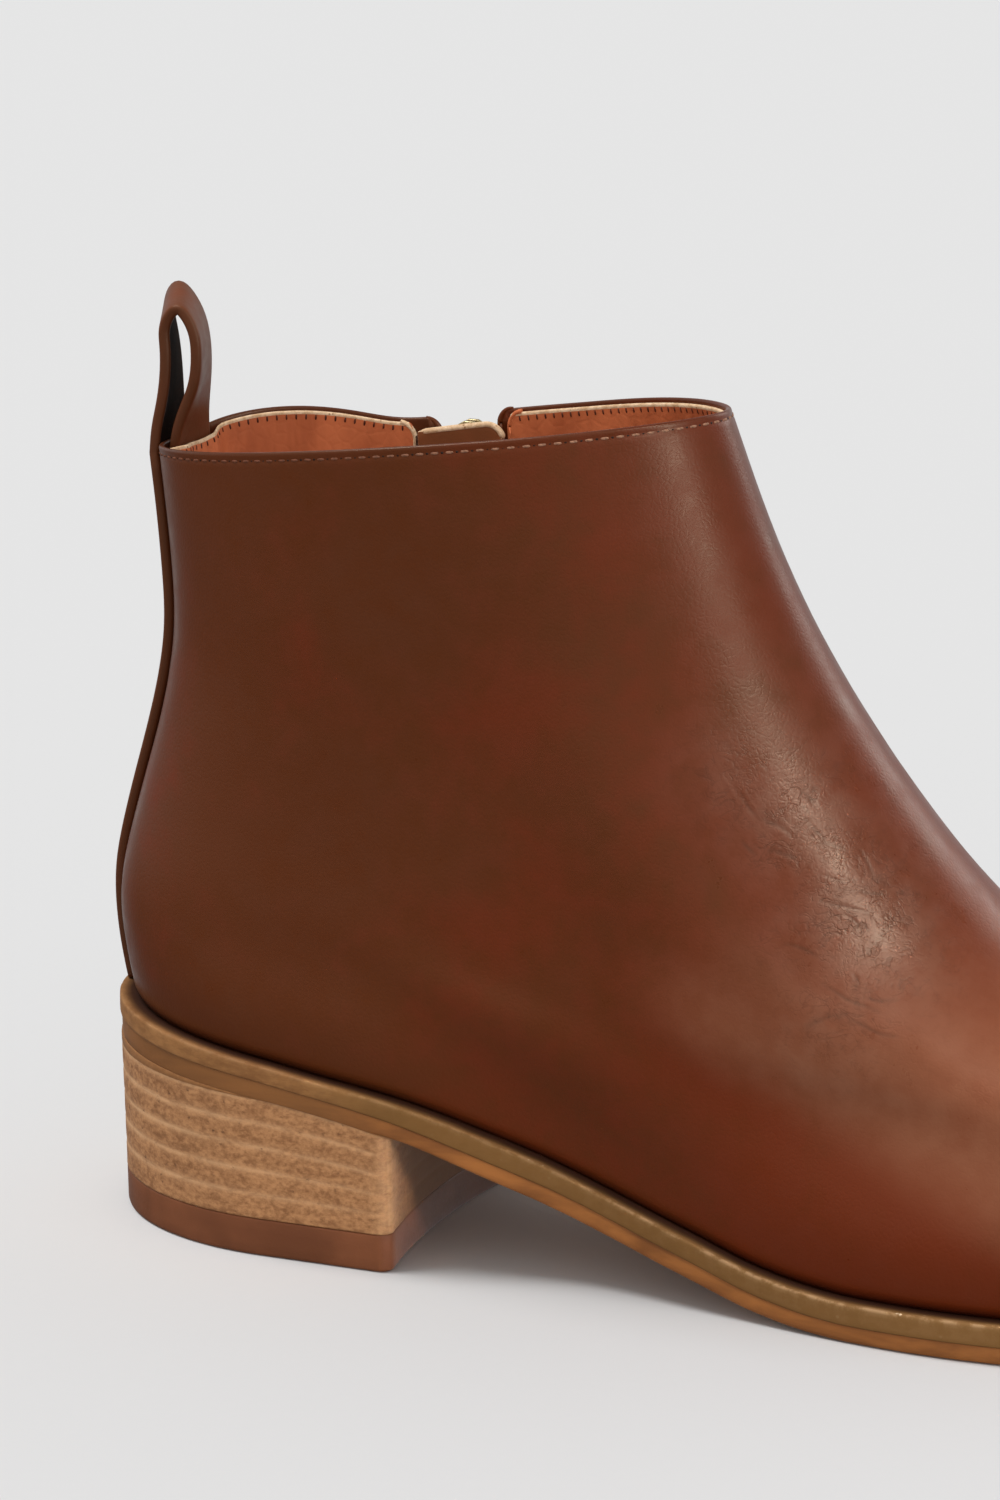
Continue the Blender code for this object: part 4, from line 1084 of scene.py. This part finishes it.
soleLook = {
    "points": 520, "grain": 2.5, "weltRough": 0.08, "weltRoughRows": 11,
    "outsoleIn": 0.3, "outsoleRough": 0.05, "outsoleRoughRows": 9, "sharpTo": 66.0, "sharpFade": 8.0,
    "sockIn": 5.6, "sockLow": 0.1, "sockThick": 2.4, "sockCup": 1.6, "sockColumns": 21,
    "welt": (  # inset, level, lift, pale edge, dark line (painted shade on the ledge under the upper, and a dark joint above the outsole)
        (13.4, 1, 0.0, 0, 0), (0.16, 1, 0.0, 0, 0.25), (0.05, 1, 0.06, 0, 0.15), (0.0, 1, 0.3, 0, 0),
        (-0.03, 1, 1.0, 0.1, 0), (-0.03, 2, -1.2, 0.1, 0), (0.0, 2, -0.55, 0.3, 0), (0.05, 2, -0.22, 0.8, 0),
        (0.16, 2, -0.06, 1, 0), (0.35, 2, 0.0, 0.9, 0), (0.8, 2, 0.02, 0.35, 0.1), (1.5, 2, 0.0, 0, 0.6),
        (2.2, 2, -0.02, 0, 0.92), (3.2, 2, -0.03, 0, 1), (4.6, 2, -0.03, 0, 1), (13.4, 2, 0.0, 0, 1),
    ),
    "outsole": (  # inset, level, lift
        (1.5, 0, 0.0), (0.85, 0, 0.04), (0.4, 0, 0.2), (0.12, 0, 0.5), (0.0, 0, 1.0), (-0.05, 0, 1.7),
        (0.0, 1, -1.0), (0.02, 1, -0.3), (0.05, 1, -0.12), (0.16, 1, -0.06), (1.2, 1, -0.05),
    ),
}


def soleRing(inset, layers, lift, rough):
    edge = outline(around(soleLook["points"]), inset)
    ring = np.column_stack([edge, soleLevel(edge[:, 0], layers) + lift])
    if rough:
        roughen(ring, rough, soleLook["grain"], (40, 0, 0))
    return ring


def solePieces(look):
    count, half = look["points"], look["points"] // 2
    insets, levels, lifts, pale, dark = zip(*look["welt"])
    rough = [look["weltRough"] if 0 < k < look["weltRoughRows"] else 0 for k in range(len(insets))]
    rings = [soleRing(*row) for row in zip(insets, levels, lifts, rough)]
    faces = ringFaces(len(rings), count, closed=True)
    values = {"paleLineAndHighlight": np.repeat(pale, count), "stainAndShade": np.repeat(dark, count)}
    addPiece("welt", np.concatenate(rings), faces, "welt", "welt_leather", ("welt",), values=values)
    inset, rings = look["outsoleIn"], []
    soft = (outline(around(count), inset)[:, :1] - look["sharpTo"]) / look["sharpFade"]
    soft = np.clip(soft, 0.1, 1)  # the lower edge is sharp over the heel
    for k, (more, level, lift) in enumerate(look["outsole"]):
        rough = look["outsoleRough"] if 0 < k < look["outsoleRoughRows"] else 0
        rings.append(soleRing(inset + more * (1 if level else soft), level, lift, rough))
    faces = ringFaces(len(rings), count)
    for start in (0, (len(rings) - 1) * count):  # strips across, from the back to the toe
        end = start + count
        faces += [(start, start + 1, end - 1)]
        faces += [(start + i, start + i + 1, end - i - 1, end - i) for i in range(1, half - 1)]
        faces += [(start + half - 1, start + half, start + half + 1)]
    addPiece("outsole", np.concatenate(rings), faces, "sole", "sole_leather", ("outsole",), sharp=50)
    edge = outline(around(count), look["sockIn"])
    share = np.linspace(0, 1, look["sockColumns"])
    grid = edge[1:half, None] * (1 - share[None, :, None]) + edge[:half:-1, None] * share[None, :, None]
    cup = look["sockCup"] * np.abs(2 * share - 1)[None] ** 6
    level = soleLevel(grid[:, :, 0].ravel(), 2).reshape(grid.shape[:2]) + soleShape["gap"]
    low, top = np.dstack([grid, level + look["sockLow"]]), np.dstack([grid, level + look["sockThick"] + cup])
    rows = np.concatenate([low, top[:, ::-1]], axis=1)
    faces = slabFaces(*rows.shape[:2])
    addPiece("sockLining", rows.reshape(-1, 3), faces, "sock", "insole_leather", ("insole",), sharp=60)


solePieces(soleLook)
print("welt, outsole and sock made")


# Heel: stacked lifts with a wedge under the seat, and the top piece

heelLook = {
    "front": 69.7, "half": 31.3, "seatBack": 4.1, "floorBack": 4.3, "end": 40.0, "hollow": 3.0,
    "corner": 2.4, "topPiece": 7.0, "lifts": 5, "wedge": 2.2, "wedgeEnd": 44.0, "groove": 0.10,
    "wedgeGroove": 0.08, "rough": 0.05, "grain": 2.0, "gap": 0.05,
    "liftMarks": (0.0, 0.07, 0.16, 0.35, 0.65, 0.84, 0.93), "wedgeMarks": (0.0, 0.12, 0.5, 0.9, 1.0),
    "wedgeLeast": 0.12, "seamReach": 0.2, "lowDark": 0.25, "wedgeDark": 0.75,
    # the breast is painted dark as the shade in its hollow
    "breastDark": 0.9, "breastIn": 3.0, "breastFade": 12.0, "breastFrom": 65.2,
    # the front corners are painted pale as their highlight
    "cornerPale": 0.95, "cornerIn": 1.2, "cornerReach": (5.0, 0.9),  # reach on the breast and on the side
    "fade": ((10.0, 52.0), (1.0, 0.55)),  # the lift lines fade towards the front
    "topEdge": (  # inset, height, then inset, distance below the top
        ((1.0, 0.0), (0.45, 0.06), (0.14, 0.3), (0.0, 0.8), (0.0, 2.5), (0.0, 4.5)),
        ((0.0, 0.5), (0.1, 0.12), (0.35, 0.0)),
    ),
}


def heelOutline(back, look):
    front, half, corner = look["front"], look["half"], look["corner"]
    turn = np.linspace(0, np.pi / 2, 34)
    side = list(zip(back + look["end"] * (1 - np.cos(turn)), half * np.sin(turn)))
    side += [(x, half) for x in np.linspace(back + look["end"], front - corner, 18)[1:]]
    for t in np.radians(np.linspace(0, 84, 9))[1:]:
        side.append((front - corner * (1 - math.sin(t)), half - corner * (1 - math.cos(t))))
    cornerX, cornerY = side[-1]
    breast = [(cornerX - look["hollow"] * (1 - s ** 2), s * cornerY) for s in np.linspace(-1, 1, 31)[1:-1]]
    return np.array([(x, -y) for x, y in side] + breast + side[:0:-1])


def drawIn(loop, inset):  # the loop moved inwards
    x, y = loop.T
    turn = np.sign(np.sum(x * np.roll(y, -1) - y * np.roll(x, -1)))
    return loop + inset * turn * leftOf(np.roll(loop, -1, axis=0) - np.roll(loop, 1, axis=0))


def heelPieces(look):
    floor, seat = heelOutline(look["floorBack"], look), heelOutline(look["seatBack"], look)
    x, out, half, size = seat[:, 0], np.abs(seat[:, 1]), look["half"], len(seat)
    tall, base = look["topPiece"], look["topPiece"] + look["gap"]
    fall = 1 - (x - look["seatBack"]) / look["wedgeEnd"]
    wedge = np.clip(look["wedge"] * fall, look["wedgeLeast"], None)
    line = soleLevel(x) + look["gap"] - wedge
    rings, seams, dark = [], [], []
    for k in range(look["lifts"]):
        for mark in look["liftMarks"]:
            share = (k + mark) / look["lifts"]
            lowest = k == 0 and mark < look["seamReach"]
            paleLineAndHighlight = 0.0 if lowest else max(0.0, 1 - min(mark, 1 - mark) / look["seamReach"])
            loop = drawIn(floor + (seat - floor) * share, look["groove"] * paleLineAndHighlight)
            rings.append(np.column_stack([loop, base + share * (line - base)]))
            seams.append(paleLineAndHighlight)
            dark.append(look["lowDark"] if share == 0 else 0.0)
    for mark in look["wedgeMarks"]:
        loop = drawIn(seat, look["wedgeGroove"] if mark in (0.0, 1.0) else 0.0)
        rings.append(np.column_stack([loop, line + mark * wedge]))
        seams.append(1.0 if mark == 0 else 0.0)
        dark.append(0.0 if mark == 0 else look["wedgeDark"])
    for ring in rings:
        roughen(ring, look["rough"], look["grain"], (9, 9, 9))
    # painted shade over the breast's hollow, deeper inwards
    breast = np.clip((half - look["breastIn"] - out) / look["breastFade"], 0, 1) * (x > look["breastFrom"])
    shade = np.maximum(np.repeat(dark, size), look["breastDark"] * np.tile(breast, len(rings)))
    cornerIn = look["cornerIn"]
    away = np.hypot(x - look["front"] + cornerIn, out - half + cornerIn)
    wearAndSheen = np.exp(-away / np.where(out < half - cornerIn, *look["cornerReach"]))  # painted highlight on the front corners, where they catch the light
    lines = np.outer(seams, np.interp(x, *look["fade"])).ravel()
    pale = np.maximum(lines, look["cornerPale"] * np.tile(wearAndSheen, len(rings)))
    values = {"paleLineAndHighlight": np.append(pale, [0, 0]), "stainAndShade": np.append(shade, [0, 0])}
    rings = np.array(rings)
    rowsPiece("heelStack", rings, "stack", slot="stacked_leather", nodes=("heel_block",), values=values)
    low, high = look["topEdge"]
    edge = [*low, *((inset, tall - down) for inset, down in high)]
    rings = np.array([np.column_stack([drawIn(floor, inset), np.full(size, z)]) for inset, z in edge])
    rowsPiece("topPiece", rings, "rubber", slot="top_piece_rubber", nodes=("top_piece",))


heelPieces(heelLook)
print("heel made")


# Zip: cloth tape, two rows of teeth, the guard behind it, slider and pull

tapeLook = {
    "half": 10.0, "back": 0.0, "low": 50.0, "top": (138.0, 138.0), "deep": 2.5, "thick": 0.7,
    "corner": 0.0, "edge": 0.22,
}
guardLook = {
    "half": 8.6, "back": 0.5, "low": 47.0, "top": (139.0, 141.9), "deep": 3.5, "thick": 1.0,
    "corner": 3.6, "edge": 0.22, "rawRadius": 0.62, "rawDown": 0.25, "rawFrom": 0.3, "rawEnd": (0.3, 0.8),
}


def zipSlab(name, look, finishes, slot, node, rows=70, columns=21):
    half, corner, low = look["half"], look["corner"], look["low"]
    across, share = np.linspace(-1, 1, columns), np.linspace(0, 1, rows)
    over = np.clip(across * half - half + corner, 0, corner)  # how far into the rounded corner
    top = np.interp(across, (-1, 1), look["top"]) - (corner - np.sqrt(corner ** 2 - over ** 2))
    points, normals = onZip(across[None] * half - look["back"], low + share[:, None] * (top - low)[None])
    inner, outer = points - (look["deep"] + look["thick"]) * normals, points - look["deep"] * normals
    grid = np.concatenate([inner, outer[:, ::-1]], axis=1)
    groups = np.zeros((rows - 1, 2 * columns), int)
    groups[:, [columns - 1, 2 * columns - 1]] = 1
    ends = np.ones(2 * (columns - 1), int)
    groups = np.append(groups, ends) if " " in finishes else None  # the edges' own finish
    piece = addPiece(name, grid.reshape(-1, 3), slabFaces(rows, 2 * columns), finishes, slot, node, groups)
    soft = piece.modifiers.new("edges", "BEVEL")
    soft.width, soft.segments = look["edge"] / 1000, 2
    soft.limit_method, soft.angle_limit = "ANGLE", math.radians(50)


def guardEdge(look):  # raw edge over the guard's top and its rounded corner
    half, corner = look["half"], look["corner"]
    turn = np.radians(np.linspace(0, 80, 14))
    straight = np.linspace(-half + look["rawFrom"], half - corner, 20)[:-1]
    across = np.append(straight, half - corner + corner * np.sin(turn))
    drop = np.append(np.zeros(len(straight)), corner * (1 - np.cos(turn))) + look["rawDown"]
    points, normals = onZip(across - look["back"], np.interp(across, (-half, half), look["top"]) - drop)
    path = points - (look["deep"] + look["thick"] / 2) * normals
    size = np.concatenate([look["rawEnd"], np.ones(len(path) - 4), look["rawEnd"][::-1]])
    rowsPiece("guardRawEdge", tubeRows(path, normals, circle(look["rawRadius"], 10), size), "raw")


toothLook = {
    "low": 59.3, "topDown": 5.6, "pitch": 1.15, "deep": 1.35,
    "aside": 0.95, "half": 1.0, "flat": 0.62, "round": 0.25,
    "path": (-1.55, -1.45, -0.4, 0.5, 1.25, 1.4), "size": (0.75, 0.95, 0.95, 0.8, 0.8, 0.6),  # tape to hook
}


def zipTeeth(look):
    z = np.arange(look["low"], zipLook["sliderZ"] - look["topDown"], look["pitch"])
    sides = np.where(np.arange(len(z)) % 2, 1.0, -1.0)
    points, normals = onZip(sides * look["aside"], z)
    profile = roundedBox(look["half"], look["flat"], look["round"], 1, 3)
    path, size = np.array(look["path"])[:, None], np.array(look["size"])[:, None, None]
    teeth = []
    for point, out, side in zip(points, normals, sides):
        up = unit(np.array([0.0, 0.0, 1.0]) - out * out[2])
        line = path * np.cross(up, out) * -side + point - look["deep"] * out
        ring = profile[None, :, :1] * look["flat"] * up + profile[None, :, 1:] * out
        teeth.append(line[:, None] + size * ring)
    addPiece("zipTeeth", *manyTubes(teeth), "brass", "zip_metal", ("zip_chain",), sharp=40)


sliderLook = {
    "body": (
        (-3.8, -3.2), (-3.5, -4.3), (-1.2, -4.5), (1.2, -4.5), (3.5, -4.3), (3.8, -3.2), (3.75, 0.8),
        (3.2, 3.2), (2.3, 4.8), (0.9, 5.6), (-0.9, 5.6), (-2.3, 4.8), (-3.2, 3.2), (-3.75, 0.8),
    ),
    "plateThick": 0.85, "plateEdge": 0.22, "deep": 2.2, "postUp": 2.6, "postHalf": (1.87, 1.32),
    "postShort": 0.2, "postEdge": 0.1,
    "bridgeHalf": 2.9, "bridgeTall": 3.65, "bridgeRound": 0.62, "bridgeFlat": 1.35, "bridgeIn": 0.5,
}
pullLook = {
    "long": 24.0, "half": 2.9, "tip": 2.3, "thick": 1.2, "pivot": 1.25, "windowHalf": 1.6, "window": 4.2,
    "holeRadius": 1.1, "holeAt": 21.0, "edge": 0.22, "shoulder": (0.35, 3.0), "topCorner": 0.5,
    "ridgeHalf": (1.5, 5.2), "ridgeAt": 11.2, "ridgeProud": 0.18, "ridgeEdge": 0.25,
}


def cutPlate(outlines, halfThick, edge):  # flat plate with soft edges, cut along outlines in millimetres
    curve = bpy.data.curves.new("plate", "CURVE")
    curve.dimensions, curve.fill_mode = "2D", "BOTH"
    curve.extrude, curve.bevel_depth, curve.bevel_resolution = (halfThick - edge) / 1000, edge / 1000, 2
    curve.offset = -edge / 1000
    for points in outlines:
        spline = curve.splines.new("POLY")
        spline.points.add(len(points) - 1)
        spline.use_cyclic_u = True
        for point, (x, y) in zip(spline.points, points):
            point.co = (x / 1000, y / 1000, 0.0, 1.0)
    guide = bpy.data.objects.new("plate", curve)
    scene.collection.objects.link(guide)
    mesh = finalMesh(guide)
    bpy.data.objects.remove(guide)
    work = bmesh.new()
    work.from_mesh(mesh)
    bmesh.ops.remove_doubles(work, verts=work.verts, dist=1e-6)
    bmesh.ops.recalc_face_normals(work, faces=work.faces)
    work.to_mesh(mesh)
    work.free()
    return mesh


def arcPoints(radius, height, degrees):
    return [(radius * math.cos(a), height + radius * math.sin(a)) for a in np.radians(degrees)]


def addMetal(name, work, matrix, node, body="boot"):
    mesh = bpy.data.meshes.new(name)
    work.to_mesh(mesh)
    work.free()
    mesh.transform(matrix)
    wear(bpy.data.objects.new(name, mesh), "brass", (node,), body, 40)


def sliderSeat():  # where the slider's middle lies on the upper
    points, normals = onZip(0.0, [zipLook["sliderZ"]])
    out = Vector(normals[0])
    up = (Vector((0, 0, 1)) - out * out.z).normalized()
    seat = Matrix((up.cross(out), up, out)).transposed().to_4x4()
    seat.translation = inMetres(points)[0]
    return seat


def zipSlider(look, seat):
    proud, deep, edge, half = zipLook["proud"], look["deep"], look["plateEdge"], look["plateThick"] / 2
    wide, tall = look["postHalf"]
    post = [(wide * x, look["postUp"] + tall * y) for x, y in circle(1.0, 14)]
    parts = (  # front plate, back plate and the post between: outline, half thickness, edge, middle
        (look["body"], half, edge, proud - half), (look["body"], half, edge, half - deep),
        (post, (deep + proud) / 2 - look["postShort"], look["postEdge"], (proud - deep) / 2),
    )
    body = bmesh.new()
    for points, halfThick, soft, lift in parts:
        plate = cutPlate([points], halfThick, soft)
        plate.transform(Matrix.Translation((0, 0, lift / 1000)))
        body.from_mesh(plate)
    steps, sides, radius = 17, 10, look["bridgeRound"]
    turn = np.linspace(0, np.pi, steps)
    foot, span = proud - look["bridgeIn"], look["bridgeHalf"] - radius
    y = -span * np.sign(np.cos(turn)) * np.abs(np.cos(turn)) ** 0.5
    path = np.column_stack([np.zeros(steps), y, foot + (look["bridgeTall"] - foot) * np.sin(turn) ** 0.5])
    out = np.tile([1.0, 0.0, 0.0], (steps, 1))
    rows = tubeRows(path, out, circle(radius, sides) * (1.0, look["bridgeFlat"]))
    start = [body.verts.new(p / 1000) for p in rows.reshape(-1, 3)]
    ends = [start[:sides], start[-sides:]]
    for face in [[start[i] for i in face] for face in ringFaces(steps, sides)] + ends:
        body.faces.new(face)
    bmesh.ops.recalc_face_normals(body, faces=body.faces)
    addMetal("zipSlider", body, seat, "zip_slider")


def zipPull(look, seat):
    half, bar, corner, window = look["half"], look["thick"] / 2, look["topCorner"], look["windowHalf"]
    shoulder, (narrower, lower) = -look["window"] - bar, look["shoulder"]
    right = [(half - narrower, shoulder - lower), (half, shoulder)]
    right += [(half, bar - corner), (half - corner, bar)]
    left = [(-x, y) for x, y in right[::-1]]
    tip = arcPoints(look["tip"], look["tip"] - look["long"], range(180, 361, 15))
    edge = [*right[2:], *left, *tip, *right[:2]]
    opening = [(-window, -look["window"]), (window, -look["window"]), (window, -bar), (-window, -bar)]
    hole = arcPoints(look["holeRadius"], -look["holeAt"], range(0, 360, 15))
    wide, tall = look["ridgeHalf"]
    ridge = [(wide * x, tall * y - look["ridgeAt"]) for x, y in circle(1.0, 32)]
    body = bmesh.new()
    body.from_mesh(cutPlate([edge, opening, hole], bar, look["edge"]))
    body.from_mesh(cutPlate([ridge], bar + look["ridgeProud"], look["ridgeEdge"]))
    pivot = Matrix.Translation((0, 0, (zipLook["proud"] + look["pivot"]) / 1000))
    addMetal("zipPull", body, seat @ pivot, "zip_pull", "pull_tab")


zipSlab("zipTape", tapeLook, "cloth", "zip_cloth", ("zip_tape",))
zipSlab("zipGuard", guardLook, "guard raw", "guard_leather", ("zip_guard",))
guardEdge(guardLook)
zipTeeth(toothLook)
zipSlider(sliderLook, sliderSeat())
zipPull(pullLook, sliderSeat())
print("zip made")


# Floor, light and camera

stageLook = {
    "floorHalf": 8.0, "floorColour": 0.80, "floorGrain": 0.004,
    "sky": 0.43, "skyRim": 0.62, "skyLow": 0.08, "skyBehind": 0.65,
    "behindAt": (0.25, 0.9), "aboveAt": (0.10, 0.50), "levelAt": (-0.12, 0.05),
    "sun": 1.84, "sunSoft": 24.0, "sunTurn": -76.0, "sunLift": 66.0, "sunAway": 2.0,
    "shaft": (0.0, -0.01, 0.085), "heel": (-0.075, -0.036, 0.018),
    "lamps": {  # aim, turn from the front, lift, distance, width, height, power, spread
        "sideStrip": ("shaft", 59.0, 38.0, 1.10, 0.16, 0.30, 4.1, 180.0),
        "sideLow": ("shaft", 67.0, 10.0, 1.10, 0.14, 0.20, 2.8, 180.0),
        "topSoft": ("shaft", 25.0, 58.0, 1.10, 0.50, 0.40, 3.4, 180.0),
        "heelSoft": ("heel", 74.0, 7.0, 0.80, 0.10, 0.08, 0.012, 9.0),
        "farEdge": ("shaft", 150.0, 24.0, 1.00, 0.35, 0.50, 2.2, 180.0),
        "sideFill": ("shaft", -20.0, 30.0, 1.20, 0.60, 0.50, 1.35, 180.0),
        "frontFill": ("shaft", 92.0, 28.0, 1.10, 0.50, 0.50, 2.4, 180.0),
    },
    # these light the leather, and the others are highlights alone
    "soft": ("topSoft", "heelSoft", "sideFill", "frontFill"),
}


def aimed(turn, lift, away, aim):  # a place round the boot, and the turn that looks back at it
    turn, lift = math.radians(turn), math.radians(lift)
    back = Vector((math.sin(turn) * math.cos(lift), -math.cos(turn) * math.cos(lift), math.sin(lift)))
    return Matrix.Translation(Vector(aim) + back * away) @ back.to_track_quat("Z", "Y").to_matrix().to_4x4()


def addLamp(name, kind, matrix, power):
    lamp = bpy.data.objects.new(name, bpy.data.lights.new(name, kind))
    lamp.data.energy = power
    lamp.matrix_world = matrix
    scene.collection.objects.link(lamp)
    return lamp


def addFloor(look):
    mesh, far = bpy.data.meshes.new("floor"), look["floorHalf"]
    mesh.from_pydata([(-far, -far, 0), (far, -far, 0), (far, far, 0), (-far, far, 0)], [], [(0, 1, 2, 3)])
    material, start, place = newFinish("paleFloor")
    grain = cloudy(place, 400.0, 2.0)
    shade, drift = look["floorColour"], look["floorGrain"]
    tone = mixed(grain, (shade - drift,) * 3, (shade + drift,) * 3)
    closeFinish(start, tone, 0.9 + grain * 0.05, grain, 0.01, 0.0)
    mesh.materials.append(material)
    floor = bpy.data.objects.new("floor", mesh)
    scene.collection.objects.link(floor)
    floor.visible_glossy = False


def addSky(look):  # darker low down, lighter behind the boot
    world = bpy.data.worlds.new("studio")
    world.use_nodes = True
    world.node_tree.nodes.clear()
    start = Wire(world.node_tree)
    towards = start.add("TexCoord", out="Generated")
    behind = ease(axisOf(towards, 1), *look["behindAt"], look["skyLow"], look["skyBehind"])
    up = axisOf(towards, 2)
    above = ease(up, *look["aboveAt"], look["skyRim"], look["sky"])
    level = behind + ease(up, *look["levelAt"]) * (above - behind)
    shade = mixed(level, (0.0, 0.0, 0.0), (1.0, 1.0, 1.0))
    light = start.add("Background", {}, {"Color": shade, "Strength": 1.0})
    start.add("OutputWorld", {}, {"Surface": light})
    scene.world = world


def addLamps(look):
    matrix = aimed(look["sunTurn"], look["sunLift"], look["sunAway"], look["shaft"])
    sun = addLamp("skyPanel", "SUN", matrix, look["sun"])
    sun.data.angle = math.radians(look["sunSoft"])
    for name, (aim, turn, lift, away, wide, tall, power, spread) in look["lamps"].items():
        lamp = addLamp(name, "AREA", aimed(turn, lift, away, look[aim]), power)
        lamp.data.shape, lamp.data.size, lamp.data.size_y = "RECTANGLE", wide, tall
        lamp.data.spread = math.radians(spread)
        lamp.light_linking.receiver_collection = bootGroup
        lamp.visible_diffuse = name in look["soft"]
        lamp.visible_glossy = name not in look["soft"]


cameraLook = {  # fitted to the photograph's sole, collar and ridge lines
    "image": (1000, 1500), "focal": 5455.56, "middle": (739.86, 745.64), "sensor": 36.0,
    "place": (0.342842, -0.846999, 0.334312),
    "right": (0.9233356, 0.38394021, -0.00642507), "up": (-0.09237464, 0.2383299, 0.96678115),
    "back": (0.37271744, -0.89206994, 0.25552482),
}


def addCamera(look):
    data = bpy.data.cameras.new("camera")
    (wide, tall), (middleX, middleY) = look["image"], look["middle"]
    data.sensor_fit, data.sensor_height = "VERTICAL", look["sensor"]
    data.lens = look["focal"] * look["sensor"] / tall
    data.shift_x, data.shift_y = (wide / 2 - middleX) / tall, (middleY - tall / 2) / tall
    data.clip_start, data.clip_end = 0.05, 50.0
    camera = bpy.data.objects.new("camera", data)
    turn = Matrix((look["right"], look["up"], look["back"])).transposed()
    camera.matrix_world = Matrix.Translation(look["place"]) @ turn.to_4x4()
    scene.collection.objects.link(camera)
    scene.camera = camera


addFloor(stageLook)
addSky(stageLook)
addLamps(stageLook)
scene.view_settings.view_transform = "Standard"
addCamera(cameraLook)
